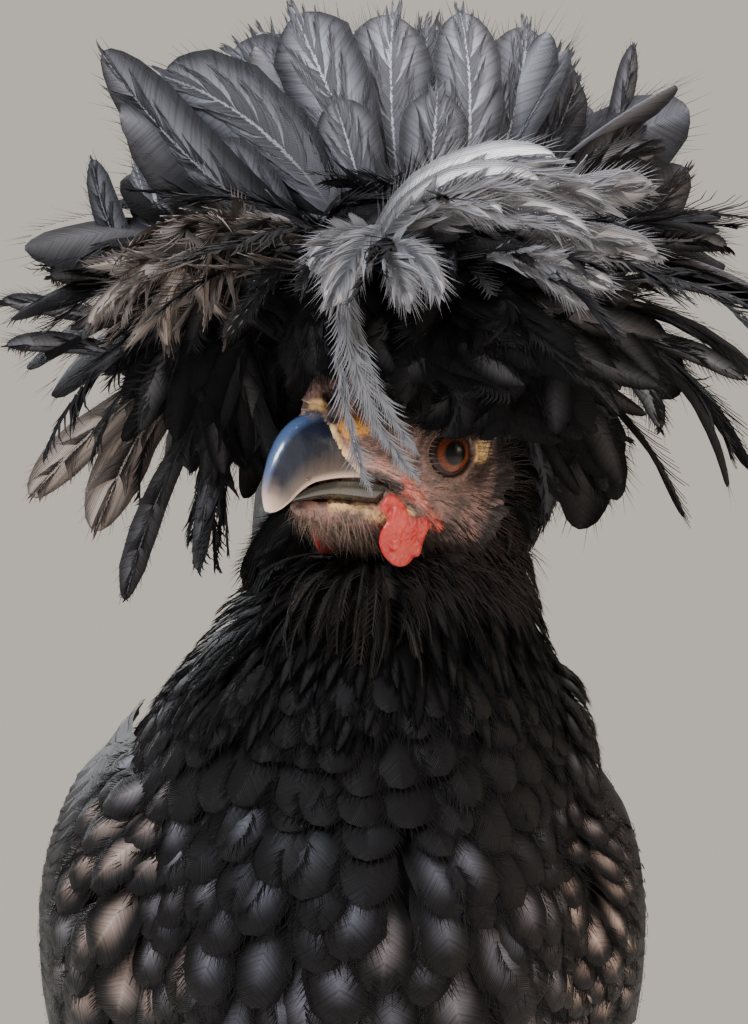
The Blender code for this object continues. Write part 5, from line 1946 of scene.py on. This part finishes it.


# Feathers that stand up from the crest: root, bend and tip as right, up and near; half width, roll, tone,
# which sets how much painted light lies on each
CREST_FAN = [
    ((2, 58, 17), (-8, 84, 14), (-16, 101.5, 5), 11.4, -14, 0.85),
    ((6, 58, 14), (2, 86, 11), (4, 101.5, 1), 10.6, 10, 0.8),
    ((17, 58, 17), (22, 84, 14), (17.5, 102, 4), 8.6, 6, 0.95),
    ((20, 58, 9), (31, 82, 5), (31, 99, -5), 9.4, 16, 0.65),
    ((28, 56, 7), (37, 76, 4), (41.5, 88, -4), 7.0, 22, 0.3),
    ((-5, 56, 18), (-20, 82, 14), (-43, 89, 3), 11.2, -24, 0.8),
    ((-3, 58, 11), (-16, 86, 7), (-29, 94, -4), 10.0, -16, 0.65),
    ((-8, 54, 19), (-34, 62, 18), (-55.5, 94, 9), 9.0, -38, 0.45),
    ((-14, 50, 13), (-34, 60, 12), (-50, 80, 2), 9.0, -30, 0.3),
    ((30, 52, 9), (46, 64, 5), (54, 81, -4), 8.4, 26, 0.4),
    ((40, 54, -2), (50, 74, -6), (53, 95.5, -12), 3.4, 30, 0.35),
    ((36, 48, 5), (54, 56, 1), (64, 70, -8), 7.6, 24, 0.35),
    ((-34, 44, 8), (-45, 56, 2), (-48.5, 71, -6), 6.4, -30, 0.9),
    ((-38, 36, 6), (-54, 50, 0), (-57.5, 72, -4), 4.6, -30, 0.25),
    ((10, 58, 4), (10, 84, -2), (11, 99, -12), 11.5, 0, 0.55),
    ((-8, 58, 4), (-16, 82, -2), (-23, 97, -12), 11.0, -8, 0.5),
    ((24, 58, 2), (32, 80, -4), (39, 93, -14), 10.5, 12, 0.5),
    ((-20, 54, 4), (-32, 72, -2), (-42, 84, -10), 10.5, -20, 0.4),
    ((0, 56, 20), (-4, 72, 20), (-8, 84, 15), 8.0, -10, 0.6),
    ((10, 56, 20), (12, 72, 20), (13, 86, 14), 8.0, 6, 0.6),
    ((24, 54, 16), (32, 68, 14), (37, 78, 6), 7.5, 16, 0.45),
    ((-14, 52, 20), (-24, 66, 18), (-34, 74, 12), 8.0, -24, 0.5),
]
# Feathers that hang below the side
CREST_HANGING = [
    ((-34, 22, 4), (-46, 4, 0), (-50.8, -18, -6), 4.2, -20, 0.15),
    ((-30, 24, 6), (-34, 8, 6), (-36, -12, 4), 2.8, 0, 0.1),
]
# Straw-coloured ones behind them
CREST_STRAW = [
    ((-38, 28, -6), (-48, 20, -10), (-57, -4, -16), 7.5, -20, 0.8),
    ((-42, 28, -2), (-58, 18, -6), (-70, 3, -12), 6.0, -20, 0.6),
]
# Feathers that stand out at the sides
CREST_SIDES = [
    ((-46, 36, 8), (-62, 42, 4), (-76, 43, -4), 5.4, -35, 0.3),
    ((-46, 30, 8), (-60, 36, 4), (-75, 34, -4), 5.4, -30, 0.25),
    ((-46, 44, 6), (-58, 50, 2), (-66, 48, -4), 6.0, -30, 0.35),
    ((32, 28, 6), (46, 20, 4), (47, 4, 0), 5.6, 15, 0.1),
    ((28, 26, 8), (36, 12, 6), (35, -1, 2), 4.4, 10, 0.05),
    ((44, 38, 6), (62, 36, 2), (75.7, 27, -6), 4.8, 22, 0.5),
    ((42, 34, 8), (56, 30, 6), (58.4, 17, 0), 5.0, 20, 0.4),
    ((46, 46, 4), (64, 50, 0), (76, 43, -6), 5.2, 25, 0.6),
    ((44, 52, 2), (60, 58, -2), (72, 54, -8), 6.0, 25, 0.45),
]
# Frayed feathers over the brow: root, bend and tip as above; strands on either side, roll, tone
CREST_FRAY = [
    ((-0.5, 53, 43), (7, 73, 47), (37, 72.5, 43), (2.5, 15), 0, 1.0),
    ((1, 55, 44), (12, 72, 48), (34, 67, 44), (3, 13), 8, 0.95),
    ((4, 57, 43), (16, 70, 47), (26, 60, 45), (4, 9), 4, 0.9),
    ((12, 58, 42), (28, 67, 45), (44, 56, 39), (4, 8.5), 12, 0.85),
    ((16, 62, 39), (32, 71, 41), (47, 62, 34), (5, 7), 15, 0.7),
    ((2, 58, 44), (-4, 56, 48), (-9, 42, 47), (8, 8), -8, 0.9),
    ((0, 57, 43), (-8, 58, 46), (-13, 49, 45), (6, 6), -12, 0.8),
    ((3, 55, 45), (9, 55, 49), (13.5, 44, 47), (5.5, 6), 10, 0.9),
    ((2, 53, 45), (5, 50, 49), (7, 42, 48), (5, 5), 5, 0.7),
    ((23, 52, 41), (36, 53, 42), (49, 45.5, 36), (5, 5.5), 12, 0.85),
    ((30, 50, 39), (38, 48, 40), (43, 42, 37), (4, 4), 12, 0.7),
    ((26, 54, 37), (42, 58, 35), (58, 52, 27), (8, 8), 16, 0.5),
    ((24, 58, 35), (42, 67, 32), (57, 66, 23), (9, 8), 16, 0.3),
]
# Darker torn ones at both ends of the brow
CREST_TORN = [
    ((30, 60, 31), (46, 72, 27), (58, 74, 17), (8, 8), 16, 0.4),
    ((-20, 48, 39), (-24, 44, 42), (-30, 36, 39), (2.5, 3), -10, 1.0),
    ((-16, 50, 39), (-20, 50, 42), (-25, 46, 41), (2.5, 3), -10, 0.8),
]
# Blue-grey lock that hangs over the bill's root: root, bend and tip as above; strand length, roll, tone
CREST_LOCK = [
    ((-7, 46, 36), (-8, 22, 38), (-1, 5.0, 34), (9, 7), 0, 0.6),
    ((-6, 47, 37), (-4, 20, 39), (8.3, 7.5, 34), (9, 9), 5, 0.75),
    ((-5, 47, 37), (-3, 26, 39), (8.3, 13, 34), (9, 10), 8, 0.65),
    ((-7, 46, 36), (-6, 30, 38), (2, 15, 36), (9, 9), 2, 0.8),
    ((-6, 48, 37), (-6, 34, 39), (-1, 22, 37), (9, 9), 0, 0.7),
]


def placed_feathers(table):
    """Spines, faces, sizes and tones of one of the tables above."""
    roots, bends, tips, sizes, rolls, tones = zip(*table)
    spine = arched(roots, bends, tips)
    rolls = np.array(rolls, float)
    return spine, facing_viewer(spine, rolls), np.array(sizes, float), np.array(tones, float)


def strewn(count, root, bend, tip, roll):
    """Feathers between opposite corners: each of root, bend and tip is a pair of places in the view."""
    share = RNG.random((3, count, 3))
    places = [
        np.array(low, float) + share[i] * np.subtract(high, low)
        for i, (low, high) in enumerate((root, bend, tip))
    ]
    spine = arched(*places)
    return spine, facing_viewer(spine, RNG.normal(roll[0], roll[1], count))


def add_firm(coat, spine, facing, width, tone, fringe, soft):
    """Whole crest feathers with a soft edge, whose free barbs are longer the larger soft is."""
    rim = round_outline(CREST_ROWS, 0.7, 2.4)[None]
    half = width[:, None] / 2 * rim * RNG.uniform(0.92, 1.05, (len(spine), len(CREST_ROWS)))
    side, face, _ = add_vanes(coat, spine, facing, half, 7, 0.2, 0.2, tone, shaft=0.3)
    length = soft * (0.13 * width + 1.4)
    add_fringe(coat, spine, side, face, half, CREST_ROWS, tone, fringe, length, 0.15, 0.09)


def add_barbed(coat, spine, facing, width, tone, count, loose=0.35):
    """Crest feathers whose vane opens into single barbs towards its edge."""
    add_firm(coat, spine, facing, width * 0.72, tone, 30, 1.2)
    lifted = spine + 0.25 * facing
    reach = width * 0.55
    add_tatter(coat, lifted, facing, tone, count, (reach, reach), (52, 24), 0.26, 16, loose)


# Feathers strewn over the front: their number; corners between which root, bend and tip lie; roll and its
# spread; barb length; width of the whole feathers under them, or 0; tone
CREST_STREWN = [
    (46, ((-6, 40, 24), (20, 56, 32)), ((18, 36, 26), (38, 60, 36)), ((36, 18, 8), (60, 46, 22)),
     (18, 20), 9, 7.2, 0.32),
    (40, ((-8, 42, 26), (30, 50, 32)), ((-6, 34, 34), (40, 44, 37)), ((-2, 22, 33), (44, 34, 34)),
     (0, 25), 6, 8.0, 0.05),
    (20, ((-16, 46, 26), (0, 50, 30)), ((-18, 37, 34), (-4, 42, 38)), ((-17, 27, 31), (-6, 33, 34)),
     (0, 20), 5, 7.2, 0.03),
    (38, ((2, 33, 24), (44, 43, 28)), ((6, 27, 33), (48, 33, 30)), ((8, 14.5, 27), (46, 20.5, 22)),
     (0, 20), 5, 7.2, 0.03),
    (34, ((-32, 42, 12), (-14, 46, 22)), ((-38, 28, 12), (-18, 34, 24)), ((-38, 6, -4), (-17, 20, 10)),
     (0, 25), 6, 7.2, 0.05),
    (26, ((-32, 44, 10), (-14, 50, 20)), ((-48, 34, 14), (-26, 42, 24)), ((-54, 14, 2), (-32, 30, 16)),
     (-10, 25), 7, 7.2, 0.08),
    (28, ((-30, 34, 18), (-8, 50, 28)), ((-46, 44, 20), (-24, 58, 28)), ((-62, 24, 6), (-34, 44, 24)),
     (-20, 30), 9, 5.2, 0.13),
    (18, ((-16, 50, 16), (26, 58, 24)), ((-16, 58, 30), (28, 65, 34)), ((-18, 48, 38), (34, 57, 43)),
     (0, 30), 6, 6.4, 0.1),
    (12, ((-14, 56, 22), (24, 60, 26)), ((-18, 64, 26), (30, 70, 28)), ((-30, 62, 24), (38, 70, 24)),
     (0, 30), 7, 0, 0.4),
    (8, ((-32, 20, 2), (-24, 30, 8)), ((-37, 8, 2), (-28, 14, 8)), ((-38, -16, 0), (-28, -4, 6)),
     (0, 30), 5, 0, 0.1),
    (22, ((26, 26, 4), (44, 38, 18)), ((34, 14, 4), (50, 28, 14)), ((32, 2, -2), (52, 18, 6)),
     (0, 30), 7, 7.2, 0.05),
]
STRAW_COUNT = 20
STRAW_CORNERS = (
    ((-30, 46, 30), (-10, 60, 36)),
    ((-54, 50, 30), (-22, 68, 36)),
    ((-60, 32, 22), (-28, 54, 36)),
)
# Painted light: the pale grey inside the crest's black feathers stands for the light on them.
CREST_LOOK = {
    "dark": (0.004, 0.004, 0.0045),
    "middle": (0.028, 0.0275, 0.031),
    "pale": (0.50, 0.49, 0.54),
    "spacing": 0.36,
    "roughness": 0.6,
    "lines": 0.22,
    "edge": -0.2,
    "tip": 0.6,
    "shaft": 0.15,
}
DARK_CREST_LOOK = {
    "dark": (0.0012, 0.0012, 0.0014),
    "middle": (0.0035, 0.0033, 0.0038),
    "pale": (0.25, 0.235, 0.25),
    "spacing": 0.36,
    "gloss": 0.12,
    "roughness": 0.6,
    "lines": 0.2,
    "edge": -0.2,
    "shaft": 0.2,
}
TORN_LOOK = {
    "dark": (0.0025, 0.0025, 0.003),
    "middle": (0.009, 0.0085, 0.0095),
    "pale": (0.34, 0.32, 0.33),
    "spacing": 0.4,
    "along": True,
}
FRAYED_LOOK = {
    "dark": (0.065, 0.065, 0.072),
    "middle": (0.20, 0.197, 0.212),
    "pale": (0.85, 0.82, 0.84),
    "spacing": 0.35,
    "along": True,
    "lines": 0.3,
}
STRAW_LOOK = {
    "dark": (0.010, 0.009, 0.008),
    "middle": (0.10, 0.082, 0.074),
    "pale": (0.46, 0.38, 0.34),
    "spacing": 0.35,
    "along": True,
    "lines": 0.4,
}


def globe_feathers(firm, deep, torn):
    """Broad feathers all round the crest: whole above, whole or torn below, and torn in front."""
    azimuth, rise, length, width, droop = crest_globe()
    sweep = RNG.normal(0, 0.16, len(rise))
    spine, facing = crest_spines(azimuth, np.radians(rise), length, np.radians(droop), sweep)
    # Painted light: feathers higher on the crest get a higher tone and so a paler inside, as if lit from
    # above.
    tone = np.clip(0.12 + 0.45 * smoothstep(30, 75, rise) + RNG.normal(0, 0.1, len(rise)), 0, 1)
    kind = RNG.random(len(rise))
    front = np.cos(azimuth) > 0.1
    high = rise >= CREST_HIGH
    ragged = ~high & (front | (kind < 0.5))
    backed = ragged & ~front & (kind < 0.25)
    for coat, picked, narrowed in ((deep, backed, 0.6), (deep, ~high & ~ragged, 1), (firm, high, 1)):
        add_firm(coat, spine[picked], facing[picked], width[picked] * narrowed, tone[picked], 44, 1.6)
    reach = width[ragged] * 0.62
    add_tatter(torn, spine[ragged], facing[ragged], 0.3 * tone[ragged], 32, (reach, reach), (36, 12), 0.36)


def fan_feathers(firm, torn):
    """Feathers that stand up on top, stand out at the sides and hang below them."""
    spine, facing, size, tone = placed_feathers(CREST_FAN)
    add_barbed(firm, spine, facing, size * 2.3, tone, 120)
    spine, facing, size, tone = placed_feathers(CREST_HANGING)
    add_barbed(firm, spine, facing, size * 2, tone, 70, 0.8)
    spine, facing, size, tone = placed_feathers(CREST_SIDES)
    add_firm(firm, spine, facing, size * 0.9, tone, 50, 2.0)
    add_tatter(torn, spine, facing, 0.6 * tone, 60, (size * 1.3, size * 1.3), (30, 10))


def strewn_feathers(deep, torn):
    """Torn feathers over the front. Where they lie on whole dark ones, only every second one is torn."""
    for count, root, bend, tip, roll, strip, width, tone in CREST_STREWN:
        spine, facing = strewn(count, root, bend, tip, roll)
        tones = np.clip(RNG.normal(tone, 0.08, count), 0, 1)
        if width:
            add_firm(deep, spine, facing, np.full(count, width), tones, 32, 2.2)
            spine, facing, tones = spine[::2], facing[::2], tones[::2]
        reach = np.full(len(spine), strip * 1.1)
        add_tatter(torn, spine, facing, tones, 34, (reach, reach), (36, 12), 0.34)


def brow_feathers(pale, straw, torn):
    """Frayed feathers over the brow, the lock over the bill's root, and straw-coloured ones beside them."""
    spine, facing, size, tone = placed_feathers(CREST_STRAW)
    add_barbed(straw, spine, facing, size * 2, tone, 70, 0.6)
    for coat, table in ((pale, CREST_FRAY), (torn, CREST_TORN)):
        spine, facing, size, tone = placed_feathers(table)
        add_firm(coat, spine - 0.3 * facing, facing, size.mean(axis=1) * 0.9, tone, 50, 2.0)
        add_tatter(coat, spine, facing, tone, 110, size.T * 1.1, (56, 26), 0.3, 16, 0.7)
    spine, facing, size, tone = placed_feathers(CREST_LOCK)
    add_tatter(pale, spine, facing, 0.35 * tone, 60, size.T * 0.95, (7, 3), 0.2, 10, 0.6)
    spine, facing = strewn(STRAW_COUNT, *STRAW_CORNERS, (-15, 35))
    tones = np.clip(RNG.normal(0.65, 0.25, STRAW_COUNT), 0, 1)
    add_firm(straw, spine[::2], facing[::2], np.full(STRAW_COUNT // 2, 4.4), 0.6 * tones[::2], 46, 2.0)
    reach = np.full(STRAW_COUNT, 8.0)
    add_tatter(straw, spine, facing, tones, 50, (reach, reach), (44, 14), 0.36, 7)


def crest_feathers():
    """Broad feathers all round, a fan on top, and torn ones over the front."""
    firm, deep, torn = Coat("crest_feathers"), Coat("crest_dark_feathers"), Coat("crest_torn_feathers")
    pale, straw = Coat("crest_frayed_feathers"), Coat("crest_straw_feathers")
    globe_feathers(firm, deep, torn)
    fan_feathers(firm, torn)
    strewn_feathers(deep, torn)
    brow_feathers(pale, straw, torn)
    firm.build(feather_material("crest_feather", **CREST_LOOK), "crest", "crest")
    deep.build(feather_material("crest_dark_feather", **DARK_CREST_LOOK), "crest")
    torn.build(feather_material("crest_torn_feather", **TORN_LOOK), "crest")
    pale.build(feather_material("crest_frayed_feather", **FRAYED_LOOK), "crest")
    straw.build(feather_material("crest_straw_feather", **STRAW_LOOK), "crest")


# Bristles of the face

BRISTLE_GAP = 0.62
FACE_REACH = 52
BRISTLE_LOOK = {
    "dark": (0.01, 0.008, 0.007),
    "middle": (0.022, 0.017, 0.016),
    "pale": (0.30, 0.21, 0.17),
    "along": True,
    "lines": 0.1,
}


def add_bristles(coat, roots, way, facing, length, width, tone, droop):
    """Hair-like feathers that leave the skin along their way and bend down at the end."""
    middle = roots + (way + 0.35 * facing) * (0.5 * length)[:, None]
    tip = middle + unit(way + 0.1 * facing - droop[:, None] * Z) * (0.5 * length)[:, None]
    share = np.full(len(roots), 0.8)
    phase = RNG.random(len(roots))
    start = roots - 0.3 * facing
    add_spikes(coat, start, middle, tip, facing, width, share, 0 * share, tone, roots, phase)


def bristle_share(spots):
    """How densely bristles grow: hardly on bare skin, and not on the horn or the eye."""
    local = to_head(spots)
    masks = face_masks(local)
    forward, up = -local[:, 1], local[:, 2]
    depth, offset = from_eye(np.column_stack([np.abs(local[:, 0]), local[:, 1:]]), 1)
    reach = np.linalg.norm(offset, axis=1)
    bare = masks["cream"] + masks["ochre"] + 0.8 * masks["red"] + 0.6 * masks["pink"]
    share = 1 - 0.85 * np.clip(bare, 0, 1)
    share = share * (1 - under_horn(local)) * ((reach > 5.9) | (depth < 0))
    share = share * smoothstep(26.5, 20, forward + 0.35 * np.minimum(up + 10, 0)) * (up < 13)
    share = np.where(up < -11.6, 1.4 * smoothstep(31, 27, forward), share)
    return share * (forward > -16) * (up > -26)


def bristle_gap(spots):
    return np.full(len(spots), BRISTLE_GAP)


def face_bristles(skin):
    """Bristles that spread from the bill's root over cheeks, brow and chin, brown in front, black behind."""
    points, _, tris = arrays_of(skin)
    near = np.linalg.norm(points - HEAD_PLACE, axis=1) < FACE_REACH
    tris = tris[near[tris].all(1)]
    roots, normals = scattered(points, tris, bristle_share, bristle_gap, BRISTLE_GAP)
    local, facing = to_head(roots), normals @ HEAD
    forward, up = -local[:, 1], local[:, 2]
    way = local - head_place(27, 0, -1)
    rising = -12 * smoothstep(-8, -14, up) + 6 * smoothstep(4, 9, up)
    way = way + np.stack([0 * up, 0 * up, rising], axis=1)
    way = way + RNG.normal(0, 0.16, way.shape) * np.linalg.norm(way, axis=1)[:, None]
    way = unit(way - dot(way, facing)[:, None] * facing)
    length = 2.4 + 3.2 * smoothstep(14, -8, forward) + 6.5 * smoothstep(-10.5, -15, up)
    length *= RNG.uniform(0.6, 1.3, len(roots))
    tone = 0.85 * smoothstep(-9, 4, forward) * (1 - 0.8 * smoothstep(4, 7, up)) + 0.1
    tone = np.where(up < -11, 0.75 * smoothstep(2, 14, forward) * smoothstep(-26, -14, up) + 0.05, tone)
    tone = np.clip(tone * RNG.uniform(0.3, 1.2, len(roots)), 0, 1)
    width = RNG.uniform(0.06, 0.11, len(roots))
    droop = 0.35 * smoothstep(-4, -12, up) + 0.1
    coat = Coat("face_bristles")
    add_bristles(coat, roots, way @ HEAD.T, normals, length, width, tone, droop)
    coat.build(feather_material("bristle", **BRISTLE_LOOK), "plumage")


# Beard

BEARD_CENTRE = np.array([0, -8, -29.0])
BEARD_RADII = np.array([15, 12, 8.0])
BEARD_COUNT = 280
THROAT_COUNT = 34
THROAT_CORNERS = (
    ((-14, -1, -10), (-5, 4, 0)),
    ((-23, -3, -10), (-12, 3, 0)),
    ((-27, -18, -12), (-18, -8, -2)),
)
BEARD_LOOK = {
    "dark": (0.0015, 0.0015, 0.0015),
    "middle": (0.004, 0.0035, 0.0035),
    "pale": (0.055, 0.043, 0.037),
    "along": True,
}


def beard_tufts():
    """Hair-like feathers of the chin, which hang from the jaw and spread over the throat."""
    coat = Coat("beard_tufts")
    azimuth = np.radians(RNG.uniform(-115, 115, BEARD_COUNT))
    rise = np.radians(RNG.uniform(-75, 15, BEARD_COUNT))
    along, face = ball_axes(azimuth, rise)
    root = BEARD_CENTRE + along * BEARD_RADII * RNG.uniform(0.25, 0.75, (BEARD_COUNT, 1))
    root = root + Z * RNG.uniform(0, 7, (BEARD_COUNT, 1))
    along, face = along[:, None], face[:, None]
    length = RNG.uniform(10, 20, BEARD_COUNT)
    rows = np.linspace(0, 1, 6)
    turn = (np.radians(RNG.uniform(25, 75, BEARD_COUNT))[:, None] * rows[None])[..., None]
    run = (length[:, None] * rows)[..., None]
    spine = root[:, None] + run * (along * np.cos(turn) - face * np.sin(turn))
    facing = face * np.cos(turn) + along * np.sin(turn)
    tone = np.clip(RNG.normal(0.3, 0.15, BEARD_COUNT) * smoothstep(-70, 0, np.degrees(rise)), 0, 1)
    reach = RNG.uniform(3.0, 5.5, BEARD_COUNT)
    add_plume(coat, from_head(spine), facing @ HEAD.T, rows, tone, 14, reach, 0.11)
    spine, facing = strewn(THROAT_COUNT, *THROAT_CORNERS, (0, 25))
    add_firm(coat, spine, facing, np.full(THROAT_COUNT, 4.6), np.zeros(THROAT_COUNT), 36, 2.0)
    coat.build(feather_material("beard_feather", **BEARD_LOOK), "plumage", "beard")


def main():
    build_camera()
    build_studio()
    skin = build_skin()
    eye = eye_material()
    for side, name in ((1, "left"), (-1, "right")):
        build_eye("eye_" + name, side, eye)
    build_bill()
    build_claws()
    build_flesh()
    build_body_coat(skin)
    for side in (-1, 1):
        wing_feathers(side)
    tail_feathers()
    crest_feathers()
    beard_tufts()
    face_bristles(skin)


main()
